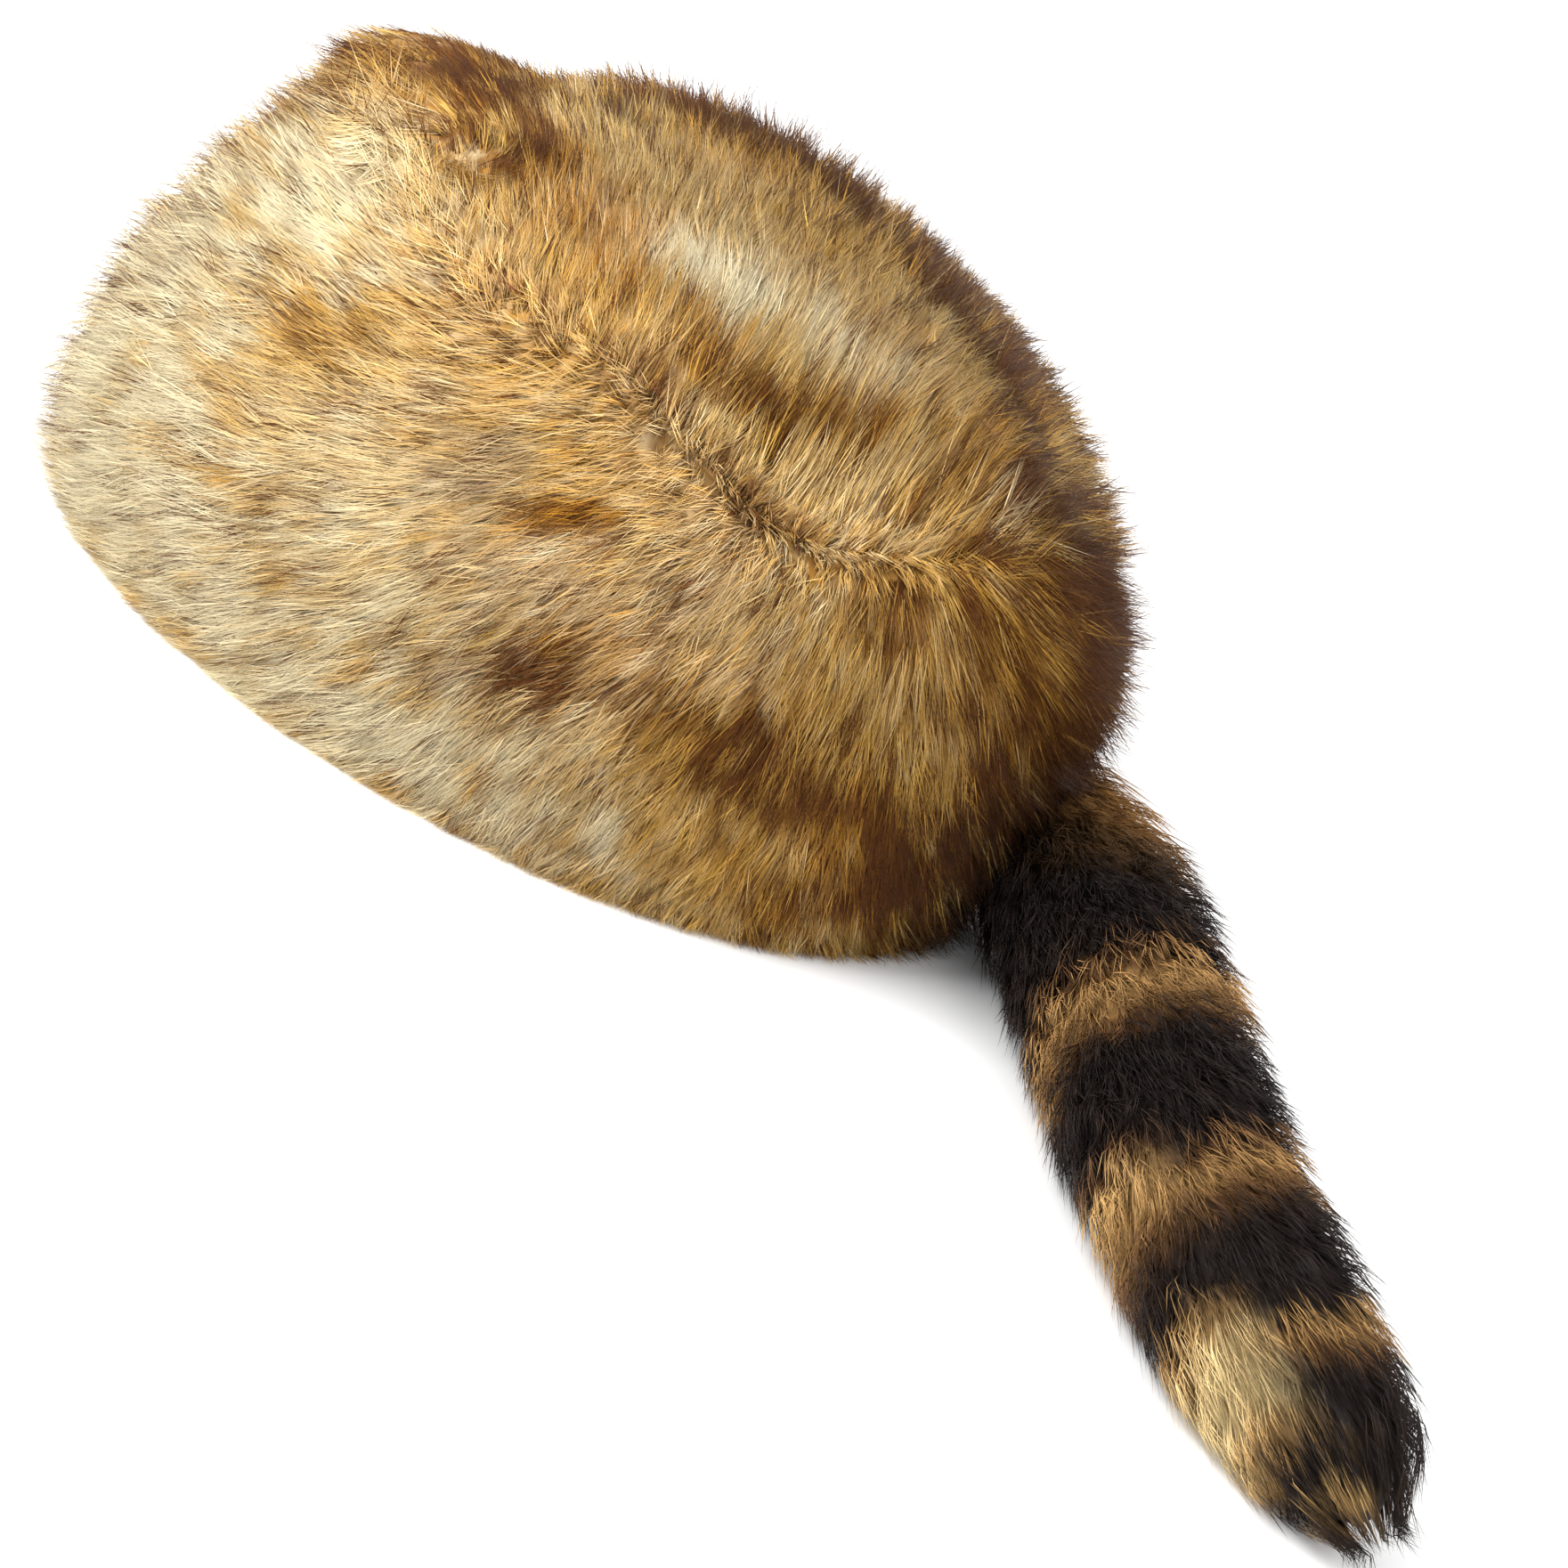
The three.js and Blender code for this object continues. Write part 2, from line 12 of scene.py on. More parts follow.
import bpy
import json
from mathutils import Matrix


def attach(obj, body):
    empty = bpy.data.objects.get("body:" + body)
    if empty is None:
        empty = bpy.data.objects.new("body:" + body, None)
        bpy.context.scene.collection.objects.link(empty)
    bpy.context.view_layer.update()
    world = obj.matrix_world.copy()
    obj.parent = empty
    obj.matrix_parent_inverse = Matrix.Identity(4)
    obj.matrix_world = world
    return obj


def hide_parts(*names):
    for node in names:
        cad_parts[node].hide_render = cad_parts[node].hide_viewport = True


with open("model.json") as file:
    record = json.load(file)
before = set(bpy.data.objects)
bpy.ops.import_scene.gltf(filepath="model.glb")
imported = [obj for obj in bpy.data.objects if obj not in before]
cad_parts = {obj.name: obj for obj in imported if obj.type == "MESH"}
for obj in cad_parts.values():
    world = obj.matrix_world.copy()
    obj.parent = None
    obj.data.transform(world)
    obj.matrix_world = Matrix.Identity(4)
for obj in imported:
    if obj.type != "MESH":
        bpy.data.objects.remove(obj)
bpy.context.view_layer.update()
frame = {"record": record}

# %% Tools and the one source of chance
import json
import math

import bpy
import numpy as np

MM = 0.001
UP = np.array([0.0, 0.0, 1.0])


def dice(seed):
    """A random generator that gives the same numbers on each run."""
    return np.random.default_rng(seed)


def unit(v):
    return v / np.linalg.norm(v, axis=-1, keepdims=True)


def ease(value, low, high):
    """0 up to low, 1 from high on, and 3s^2 - 2s^3 between."""
    s = np.clip((value - low) / (high - low), 0, 1)
    return s * s * (3 - 2 * s)


def bell(value, middle, width):
    """1 at the middle, and exp(-1) at a width from it."""
    return np.exp(-(((value - middle) / width) ** 2))


def add_object(name, data):
    thing = bpy.data.objects.new(name, data)
    bpy.context.scene.collection.objects.link(thing)
    return thing


def put_at(thing, axes, place):
    """Puts an object at a place. The rows of axes are its own right, up and back."""
    matrix = np.eye(4)
    matrix[:3, :3] = np.transpose(axes)
    matrix[:3, 3] = place
    thing.matrix_world = matrix.T.tolist()


# %% [markdown]
# ## Where the camera stands
#
# The photograph looks at the wearer's left side from 20 degrees above the rim, and is turned
# clockwise in its own plane. The camera is placed from these angles: it looks at a point inside
# the cap, then it is rolled, and swung a little so that this point falls where the photograph
# has it. Nothing is shifted in the lens, so other views stay centred.

# %% Driving sizes of the cap
HEAD_LENGTH = 200 * MM
HEAD_WIDTH = 165 * MM
HIDE = 2 * MM
BAND_HEIGHT = 104 * MM
CROWN_RISE = 9 * MM
SWELL = 8 * MM
CREASE = 10 * MM

rim_mount = frame["record"]["mounts"][0]["pos_m"]
HEAD_CENTRE = np.array([rim_mount[0] + HEAD_LENGTH / 2 + HIDE / 2, rim_mount[1], 0.0])
print("middle of the head opening", HEAD_CENTRE)

# %% The camera
bpy.context.scene.view_settings.view_transform = "Standard"
PHOTO_SIDE = 1761
ELEVATION = math.radians(20)
ROLL = math.radians(28.4)
CAMERA_DISTANCE = 1.4
PIXELS_PER_METRE = 4860
AIM_HEIGHT = 55 * MM
AIM_PIXEL = (692, 536)
SENSOR_WIDTH = 36


def turn_between(a, b):
    """The rotation that carries unit vector a onto unit vector b: I + K + K K / (1 + a.b)."""
    x, y, z = np.cross(a, b)
    k = np.array([[0, -z, y], [z, 0, -x], [-y, x, 0]])
    return np.eye(3) + k + k @ k / (1 + a @ b)


def photo_camera():
    """Camera axes in the world: looking back along ELEVATION, rolled, then swung to AIM_PIXEL."""
    back = np.array([0, -math.cos(ELEVATION), math.sin(ELEVATION)])
    right = np.array([1.0, 0, 0])
    up = np.cross(back, right)
    focal = PIXELS_PER_METRE * CAMERA_DISTANCE
    rolled_right = math.cos(ROLL) * right + math.sin(ROLL) * up
    rolled_up = math.cos(ROLL) * up - math.sin(ROLL) * right
    axes = np.stack([rolled_right, rolled_up, back])
    off = (np.array(AIM_PIXEL) - PHOTO_SIDE / 2) / focal
    aimed = unit(np.array([off[0], -off[1], -1.0]))
    axes = turn_between(np.array([0, 0, -1.0]), aimed) @ axes
    data = bpy.data.cameras.new("photo_camera")
    data.sensor_width = SENSOR_WIDTH
    data.lens = SENSOR_WIDTH * focal / PHOTO_SIDE
    cam = add_object("photo_camera", data)
    put_at(cam, axes, HEAD_CENTRE + AIM_HEIGHT * UP + back * CAMERA_DISTANCE)
    return cam


camera = photo_camera()
bpy.context.scene.camera = camera
print("lens", round(camera.data.lens, 1), "mm, camera at", [round(x, 3) for x in camera.location])

# %% [markdown]
# ## The hide
#
# Everything grows on the hide, so its form comes first. It is one surface over two numbers:
# `turn`, in degrees round from the front by way of the wearer's left, and `level`, which is 0 at
# the rim, 1 at the crown seam and 2 at the middle of the crown. Short tables say how the band
# swells and how high the seam runs. A mesh from a box and a sculpted look would be the other way,
# but then nothing could find its place on it by number, and here 200,000 strands must.

# %% Tables of the cap's form
# height of the band as a share; outward offset in front, at the side, behind, as shares of SWELL
BAND_ROWS = np.array([
    (0.00, 0.00, 0.00, 0.00),
    (0.18, 0.60, 0.40, 0.45),
    (0.38, 0.70, 0.60, 0.85),
    (0.58, 0.05, 0.55, 1.20),
    (0.76, -0.95, 0.10, 1.15),
    (0.90, -1.75, -0.60, 0.20),
    (1.00, -2.20, -1.30, -1.10),
])
# turn; height of the seam there, as a share of BAND_HEIGHT
SEAM_ROWS = np.array([
    (0, 1.04), (30, 1.02), (60, 0.93), (85, 0.93), (115, 0.81), (135, 0.85), (155, 0.88), (180, 0.82),
    (205, 0.86), (230, 0.98), (262, 1.06), (285, 1.06), (310, 0.96), (335, 1.05), (360, 1.04),
])
# folds of the crown: middle along and across, turn, length, width, depth as a share of CREASE
CREASES = [
    dict(along=0.36, across=-0.70, turn=22, long=0.42, wide=0.13, depth=1.00),
    dict(along=-0.62, across=0.62, turn=80, long=0.24, wide=0.15, depth=0.75),
    dict(along=0.30, across=-0.38, turn=10, long=0.50, wide=0.14, depth=-0.35),
    dict(along=-0.15, across=0.10, turn=30, long=0.30, wide=0.22, depth=-0.30),
]


def read_table(rows, column, value):
    """A column of a table at any value of its first one, on smooth cubic pieces through the rows."""
    keys, heights = rows[:, 0], rows[:, column]
    last = len(keys) - 1
    i = np.clip(np.searchsorted(keys, value, side="right") - 1, 0, last - 1)
    before, after = np.maximum(i - 1, 0), np.minimum(i + 2, last)
    width = keys[i + 1] - keys[i]
    s = (value - keys[i]) / width
    slope_in = (heights[i + 1] - heights[before]) / (keys[i + 1] - keys[before]) * width
    slope_out = (heights[after] - heights[i]) / (keys[after] - keys[i]) * width
    return ((2 * s**3 - 3 * s**2 + 1) * heights[i] + (s**3 - 2 * s**2 + s) * slope_in
            + (3 * s**2 - 2 * s**3) * heights[i + 1] + (s**3 - s**2) * slope_out)


# %% The hide as a surface
def crease_at(x, y):
    """Depth of the crown's folds: a sum of bell shapes, long in one direction and narrow in the other."""
    drop = np.zeros_like(x)
    for fold in CREASES:
        dx, dy = x - fold["along"] * HEAD_LENGTH / 2, y - fold["across"] * HEAD_WIDTH / 2
        a = math.radians(fold["turn"])
        u = (dx * math.cos(a) + dy * math.sin(a)) / (fold["long"] * HEAD_LENGTH / 2)
        v = (dy * math.cos(a) - dx * math.sin(a)) / (fold["wide"] * HEAD_LENGTH / 2)
        drop += fold["depth"] * CREASE * np.exp(-u * u - v * v)
    return drop


def oval(turn, height):
    """Plan of the hide at a share of the band's height: an ellipse let out by the swell."""
    a = np.radians(turn)
    c = np.cos(a)
    end = np.where(c > 0, read_table(BAND_ROWS, 1, height), read_table(BAND_ROWS, 3, height))
    side = read_table(BAND_ROWS, 2, height)
    out = SWELL * (side + (end - side) * c * c)
    x = -c * (HEAD_LENGTH / 2 + HIDE + out)
    y = -np.sin(a) * (HEAD_WIDTH / 2 + HIDE + out)
    return np.stack([x, y], -1)


def seam_height(turn):
    return BAND_HEIGHT * read_table(SEAM_ROWS, 1, np.mod(turn, 360))


def hide_point(turn, level):
    """Outer face of the hide. Past the seam the oval shrinks and the height rises by 1 - reach^3."""
    turn, level = np.broadcast_arrays(np.asarray(turn, float), np.asarray(level, float))
    low = np.minimum(level, 1)
    plan = oval(turn, low)
    reach = np.where(level > 1, 2 - level, 1)
    edge = reach**3
    top = BAND_HEIGHT + CROWN_RISE
    z = np.where(level <= 1, low * seam_height(turn), top * (1 - edge) + seam_height(turn) * edge)
    return np.concatenate([plan * reach[..., None], z[..., None]], -1)


# small steps in level and in degrees of turn; where the normal stops being level, and where it grows upright
NORMAL_STEPS = (0.04, 4.0)
LEVEL_UP_TO = 0.2
UPRIGHT_FROM = 1.6


def hide_normal(turn, level):
    """Outward direction: cross product of small steps round and up, level at the rim, upright on top."""
    turn, level = np.broadcast_arrays(np.asarray(turn, float), np.asarray(level, float))
    step, swing = NORMAL_STEPS
    low, high = np.clip(level - step, 0, 2 - 2 * step), np.clip(level + step, 0, 2 - step)
    rise = hide_point(turn, high) - hide_point(turn, low)
    at = np.minimum(level, 2 - step)
    around = hide_point(turn + swing, at) - hide_point(turn - swing, at)
    n = unit(np.cross(around, rise))
    n[..., 2] *= ease(level, 0, LEVEL_UP_TO)
    up = ease(level, UPRIGHT_FROM, 2)[..., None]
    return unit(n * (1 - up) + UP * up)


FOLDS_DEEPEN = (0.8, 1.15)
FUR_DEPTH = 18 * MM


def point_over(turn, level, depth):
    """A point over the hide by a depth of fur, in the model's frame. The folds sink hide and fur alike."""
    p = hide_point(turn, level)
    drop = crease_at(p[..., 0], p[..., 1]) * ease(np.broadcast_to(level, p.shape[:-1]), *FOLDS_DEEPEN)
    p = p + hide_normal(turn, level) * np.asarray(depth)[..., None]
    p[..., 2] -= drop
    return p + HEAD_CENTRE


top_fur = point_over(0.0, 2.0, FUR_DEPTH)
print("height at the middle of the crown", round(float(top_fur[2]) / MM, 1), "mm")

# %% [markdown]
# ## From arrays to meshes
#
# Every piece is put together as whole arrays and handed to Blender in one go. Adding vertices one
# at a time would take minutes for so many strands.

# %% Meshes from arrays
def new_piece(name, points, faces, node, material):
    """A mesh object from an array of points and an array of faces with equal corner counts."""
    me = bpy.data.meshes.new(name)
    count, corners = faces.shape
    me.vertices.add(len(points))
    me.loops.add(faces.size)
    me.polygons.add(count)
    me.vertices.foreach_set("co", np.ascontiguousarray(points, np.float32).ravel())
    me.loops.foreach_set("vertex_index", np.ascontiguousarray(faces, np.int32).ravel())
    me.polygons.foreach_set("loop_start", np.arange(0, faces.size, corners, dtype=np.int32))
    me.update(calc_edges=True)
    me.polygons.foreach_set("use_smooth", np.full(count, True))
    me.materials.append(material)
    piece = add_object(name, me)
    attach(piece, "root")
    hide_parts(node)
    return piece


def put_numbers(piece, name, values):
    """Three numbers at each vertex, for the material to read."""
    layer = piece.data.attributes.new(name, "FLOAT_VECTOR", "POINT")
    layer.data.foreach_set("vector", np.ascontiguousarray(values, np.float32).ravel())


def put_map(piece, uv):
    """The piece's own map, given at each vertex and copied to the corners."""
    layer = piece.data.uv_layers.new(name="OFBake", do_init=False)
    corner = np.empty(len(piece.data.loops), np.int32)
    piece.data.loops.foreach_get("vertex_index", corner)
    layer.uv.foreach_set("vector", np.ascontiguousarray(uv[corner], np.float32).ravel())


def grid_faces(rows, columns, wrap_rows, flip=False):
    """Quads of a grid that closes on itself along its columns, and along its rows if asked."""
    i, j = np.meshgrid(np.arange(rows if wrap_rows else rows - 1), np.arange(columns), indexing="ij")
    below, beside = (i + 1) % rows, (j + 1) % columns
    here, there = i * columns, below * columns
    quads = np.stack([here + j, here + beside, there + beside, there + j], -1).reshape(-1, 4)
    return quads[:, ::-1] if flip else quads


def split_quads(quads):
    return np.concatenate([quads[:, [0, 1, 2]], quads[:, [0, 2, 3]]])


# %% [markdown]
# ## Waves of chance
#
# Fur varies at every scale: patches as wide as a hand, tufts a few millimetres across, and single
# hairs. A noise texture in the material could give the first two, but the strands themselves must
# know where they are dark, so that a patch ends in ragged hairs and not in a line across them.
# The field is a sum of cosine waves with random directions, worked out at each strand's root.

# %% Fields over the cap
# how high the sum of the waves goes, against its usual height
WAVE_PEAK = 1.6


def ripple(points, size, seed, waves=28):
    """Smooth chance between about -1 and 1: the mean of cosines whose waves are about size long."""
    rng = dice(seed)
    heading = unit(rng.normal(size=(waves, 3)))
    rate = 2 * np.pi / size * rng.uniform(0.6, 1.4, waves)
    start = rng.uniform(0, 2 * np.pi, waves)
    flat = np.asarray(points).reshape(-1, 3)
    total = np.zeros(len(flat))
    for h, r, s in zip(heading, rate, start):
        total += np.cos(flat @ h * r + s)
    return (total / math.sqrt(waves / 2) / WAVE_PEAK).reshape(np.shape(points)[:-1])


# %% [markdown]
# ## What the coat looks like
#
# Patches are charted from the photograph, each with its place on the hide and its reach in
# millimetres. `dark` adds brown guard hair, `pale` bleaches to cream, `grey` shows the cool base of
# the fur where it parts. A negative number takes some away. The far side and the back aren't in
# the photograph, so they carry on the same pattern of brown edges and golden middles.

# %% Chart of the patches
# name: turn, level, half width and half height in mm, tilt in degrees, dark, pale, grey, gold
PATCHES = {
    "spot on the left side": (92, 0.47, 10, 10, 0, 1.3, 0, 0, 0.1),
    "speckle before it": (84, 0.36, 11, 7, 20, 0.35, 0, 0.55, 0),
    "streak under the seam": (86, 0.75, 10, 3.6, 30, 0.95, 0, 0, 0.2),
    "mauve spot": (77, 0.75, 11, 9, 0, 0.15, 0, 0.7, -0.4),
    "low brown band, front": (110, 0.50, 15, 9, -8, 1.0, 0, 0, 0),
    "low brown band, middle": (123, 0.50, 17, 10, -5, 0.95, 0, 0, 0),
    "low brown band, back": (138, 0.44, 15, 10, 0, 0.8, 0, 0, 0),
    "brown along the low back": (138, 0.24, 26, 20, 0, 0.75, 0, 0, 0.1),
    "brown shoulder": (131, 0.90, 14, 10, 20, 0.75, 0, 0.15, 0),
    "brown below the shoulder": (122, 0.70, 20, 9, 15, 0.3, 0, 0, 0.1),
    "field of streaks in front": (50, 0.78, 22, 15, 0, 0.4, -0.1, 0, 0.1),
    "streaks low in front": (50, 0.36, 26, 18, 0, 0.4, 0, 0, 0.1),
    "small spot low down": (103, 0.14, 7, 5, 0, 0.45, 0, 0, 0),
    # the furrow's dark is partly brown hair and partly painted shade along the crease of the crown
    "furrow": (118, 1.28, 26, 4, 0, 1.3, -0.3, 0, 0.1),
    # partly brown hair and partly painted shade along the crease here as well
    "furrow, front end": (97, 1.23, 12, 3, 0, 0.9, 0, 0.1, 0),
    "ring of the swirl": (35, 1.125, 10, 7.5, 0, 1.2, 0, 0, 0.3),
    "eye of the swirl": (35, 1.125, 5.5, 3.6, 0, -2.2, 0.2, 0, 0.5),
    "brown front of the crown": (5, 1.17, 26, 12, 0, 0.85, 0, 0.1, 0),
    "brown far front edge": (338, 1.12, 30, 14, 0, 0.9, 0, 0.1, 0),
    "brown far edge": (280, 1.08, 62, 20, 0, 0.85, 0, 0.1, 0),
    "brown far back edge": (222, 1.10, 40, 20, 0, 0.95, 0, 0.1, 0),
    "brown back": (176, 0.60, 32, 56, 0, 1.1, 0, 0.05, 0),
    "grey parting, front": (64, 1.04, 12, 8, 0, 0.15, 0, 0.4, 0),
    "grey parting, middle": (84, 1.04, 12, 7, 0, 0.25, 0, 0.35, 0),
    "grey parting, low": (98, 1.03, 9, 5, 0, 0.4, 0, 0.3, 0),
    # partly brown hair and partly painted shade down the parting, where the fur splits
    "dark parting": (110, 1.03, 15, 5, 0, 0.75, 0, 0.35, 0),
    "cream parting": (130, 1.06, 16, 6, 0, 0, 0.2, 0, 0),
    # partly cream hair and partly painted light on the bright front and low rim
    "cream front with painted light": (24, 0.20, 50, 26, 0, -0.3, 1.0, 0, -0.4),
    "cream shoulder": (31, 0.86, 26, 16, 0, -0.25, 0.75, 0, -0.3),
    "pale middle of the front": (18, 0.56, 30, 26, 0, 0, 0.75, 0, -0.3),
    # partly pale hair and partly painted light along the low rim, against the floor's shade
    "pale low side": (76, 0.10, 50, 13, 0, -0.15, 0.7, 0, -0.1),
    # the ridge's pale is partly blond hair and partly a painted highlight on the top of the crown
    "blond ridge with painted highlight": (84, 1.45, 15, 8, 0, -0.6, 0.95, 0, 0),
    # painted highlight along the ridge, with blond hair under it
    "blond ridge with painted highlight, back": (118, 1.47, 26, 8, -30, -0.2, 0.45, 0, 0),
    # painted highlight at the ridge's end, with blond hair under it
    "blond ridge with painted highlight, end": (154, 1.10, 9, 6, 0, -0.3, 0.45, 0, 0),
    "golden crown": (58, 1.35, 22, 14, 0, 0.1, 0, 0, 0.9),
    "golden side": (96, 0.62, 30, 14, 0, 0, 0.1, 0, 0.5),
    "light side": (60, 0.48, 40, 36, 0, -0.1, 0.38, 0, -0.2),
    "pale low middle": (92, 0.30, 34, 22, 0, -0.1, 0.3, 0, 0),
    "brown behind the swirl": (24, 1.33, 15, 9, 0, 1.0, 0, 0, 0.2),
    # partly brown hair and partly painted shade on the cap's darker right end
    "right end of the crown": (157, 1.18, 22, 15, 0, 0.4, 0, 0, 0),
    # partly brown hair and partly painted shade on the cap's darker right end
    "right end, low": (150, 0.36, 24, 26, 0, 0.6, 0, 0, 0),
    "far crown": (262, 1.45, 50, 26, 0, 0.6, 0, 0, 0),
    "far crown, back": (205, 1.35, 30, 18, 0, 0.3, 0, 0, 0),
    # partly brown hair and partly painted shade on the cap's darker right end
    "right end": (152, 0.78, 28, 34, 0, 0.95, 0, 0, 0.1),
    "light back side": (143, 0.70, 12, 12, 0, 0, 0.15, 0, 0.1),
}


# patches with a smaller product of half sizes have firmer edges; how far off the hide's plane they reach
SMALL_PATCH = 80
PATCH_DEPTH = 40 * MM
FIRM_EDGE = (0.55, 1.35)
SOFT_EDGE = (0.2, 1.6)


def coat_at(turn, level):
    """Dark, pale, grey and gold shares at places on the hide: a sum of ovals with soft, ragged rims."""
    turn, level = np.broadcast_arrays(np.asarray(turn, float), np.asarray(level, float))
    place = hide_point(turn, level)
    ragged = 0.35 * ripple(place, 12 * MM, 3) + 0.2 * ripple(place, 5 * MM, 4)
    shares = np.zeros(turn.shape + (4,))
    for at_turn, at_level, half_width, half_height, tilt, *amounts in PATCHES.values():
        off = place - hide_point(at_turn, at_level)
        way_up = unit(hide_point(at_turn, at_level + 0.03) - hide_point(at_turn, at_level - 0.03))
        way_round = unit(hide_point(at_turn + 2.0, at_level) - hide_point(at_turn - 2.0, at_level))
        a = math.radians(tilt)
        u, v = off @ way_round, off @ way_up
        w = np.linalg.norm(off - u[..., None] * way_round - v[..., None] * way_up, axis=-1)
        u, v = u * math.cos(a) + v * math.sin(a), v * math.cos(a) - u * math.sin(a)
        far = np.sqrt((u / (half_width * MM)) ** 2 + (v / (half_height * MM)) ** 2 + (w / PATCH_DEPTH) ** 2)
        if half_width * half_height < SMALL_PATCH:
            soft = 1 - ease(far + 0.5 * ragged, *FIRM_EDGE)
        else:
            soft = 1 - ease(far + ragged, *SOFT_EDGE)
        shares += soft[..., None] * np.array(amounts)
    return shares


print("dark share at the side spot", np.round(coat_at(92.0, 0.48), 2))

# %% [markdown]
# ## Which way the fur lies
#
# On the band the fur lies down from the crown seam and leans to the front, nearly level there, and
# straight down two thirds of the way back, where it parts and turns to the back. On the crown it
# lies from the near side to the far one and fans out. The directions are read off the photograph,
# and the far side mirrors the near one. A comb of guide curves would do the same work, but
# a short table is easier to change.

# %% Charts of the lie of the fur
# turn; degrees of lean from straight down towards a smaller turn: low, in the middle and high on the band
LEAN_ROWS = np.array([
    (-12, 0, 4, 8),
    (8, 58, 64, 74),
    (30, 57, 66, 80),
    (50, 52, 58, 72),
    (70, 38, 47, 66),
    (90, 23, 30, 40),
    (110, 18, 20, 30),
    (130, 6, -3, 16),
    (150, -28, -38, -45),
    (172, -50, -62, -74),
    (195, -50, -58, -64),
    (220, -30, -32, -34),
    (245, -20, -24, -28),
    (270, -24, -30, -40),
    (300, -46, -54, -70),
    (330, -50, -56, -66),
    (348, 0, 4, 8),
])
LEAN_LEVELS = (0.16, 0.5, 0.85)
# place along the crown as a share of half its length, front to back; heading from the far side to the back
HEADING_ROWS = np.array([
    (-1.0, -58), (-0.65, -42), (-0.45, -33), (-0.25, -18), (0.0, -4),
    (0.3, 3), (0.6, 10), (0.9, 24), (1.1, 34),
])
PARTING_LEVEL = 1.03
PARTING_WIDTH = 0.055
# turns between which the parting opens and closes on the near side, and its share elsewhere
PARTING_OPENS = (42, 66)
PARTING_CLOSES = (125, 160)
PARTING_ELSEWHERE = 0.05
MEAN_RADIUS = (HEAD_LENGTH + HEAD_WIDTH) / 4 + HIDE


def lean_at(turn, level):
    """Lean of the band's fur in radians, between the chart's rows and its three levels."""
    around = np.mod(np.asarray(turn) + 12, 360) - 12
    low, middle, high = (np.interp(around, LEAN_ROWS[:, 0], LEAN_ROWS[:, k]) for k in (1, 2, 3))
    up = ease(level, *LEAN_LEVELS[:2])
    upper = ease(level, *LEAN_LEVELS[1:])
    return np.radians(low + (middle - low) * up + (high - middle) * upper)


def parting_at(turn, level):
    """1 on the near seam, where the fur stands up between its two lies, and little on the rest."""
    near = ease(turn, *PARTING_OPENS) * (1 - ease(turn, *PARTING_CLOSES))
    return bell(level, PARTING_LEVEL, PARTING_WIDTH) * (PARTING_ELSEWHERE + (1 - PARTING_ELSEWHERE) * near)


# turn; level of the crest where the far side of the crown turns down
CREST_ROWS = np.array([
    (168, 1.05), (174, 1.16), (185, 1.35), (212, 1.48), (255, 1.37), (277, 1.25), (310, 1.40), (340, 1.55),
    (348, 1.35), (357, 1.13), (360, 1.10),
])


def crest_at(turn, level, width):
    """1 along the far crest of the crown, and at the top of the front and the back."""
    around = np.mod(turn, 360)
    near = ease(around, 160, 172) * (1 - ease(around, 359, 360))
    return near * bell(level, np.interp(around, *CREST_ROWS.T), width)


# middle and width of the fringes, in degrees of turn; levels between which they end; width of the crest's
FRONT_FRINGE = (4, 22)
BACK_FRINGE = (172, 18)
FRINGE_ENDS = (1.05, 1.3)
CREST_FRINGE = 0.14


def fringe_at(turn, level):
    """1 where the guard hair stands off: down the front and the back, and along the crown's far crest."""
    around = np.mod(turn + 90, 360) - 90
    ends = np.maximum(bell(around, *FRONT_FRINGE), bell(around, *BACK_FRINGE))
    return np.maximum(ends * (1 - ease(level, *FRINGE_ENDS)), crest_at(turn, level, CREST_FRINGE))


# turn and level of the swirl of hair at the front of the crown
SWIRL = (35, 1.125)
SWIRL_REACH = 12 * MM


def swirl_at(turn, level):
    """How near places are to the middle of the swirl, from 0 to 1, and the heading round it."""
    away = hide_point(turn, level) - hide_point(*SWIRL)
    return bell(np.linalg.norm(away, axis=-1), 0, SWIRL_REACH), away[..., :2] / SWIRL_REACH


def scatter(count, turns, levels, rng):
    """Places spread evenly over a part of the hide, by the area of small cells of it."""
    t_edges = np.linspace(*turns, 1 + int(turns[1] - turns[0]) // 2)
    l_edges = np.linspace(*levels, 61)
    t_step, l_step = t_edges[1] - t_edges[0], l_edges[1] - l_edges[0]
    t, l = np.meshgrid(t_edges[:-1] + t_step / 2, l_edges[:-1] + l_step / 2, indexing="ij")
    around = hide_point(t + 1, l) - hide_point(t - 1, l)
    rise = hide_point(t, np.minimum(l + 0.005, 2)) - hide_point(t, np.maximum(l - 0.005, 0))
    area = np.linalg.norm(np.cross(around, rise), axis=-1).ravel()
    row, column = np.divmod(rng.choice(area.size, count, p=area / area.sum()), l.shape[1])
    return t_edges[row] + t_step * rng.random(count), l_edges[column] + l_step * rng.random(count)


def band_lie(turn, level, slide, lean, offset):
    """Places that fur on the band reaches after sliding down its lean from its root. It stops at the rim."""
    side = slide * np.sin(lean)[:, None] - offset[..., 0]
    drop = slide * np.cos(lean)[:, None] - offset[..., 1]
    t = turn[:, None] - np.degrees(side / MEAN_RADIUS)
    l = level[:, None] - drop / seam_height(turn)[:, None]
    return t, np.maximum(l, 0.003 + 0.02 * np.maximum(-l, 0)), np.zeros_like(l)


# how far past the crown's edge its fur lies on the hide, as a share of the reach
EDGE_REACH = 1.03


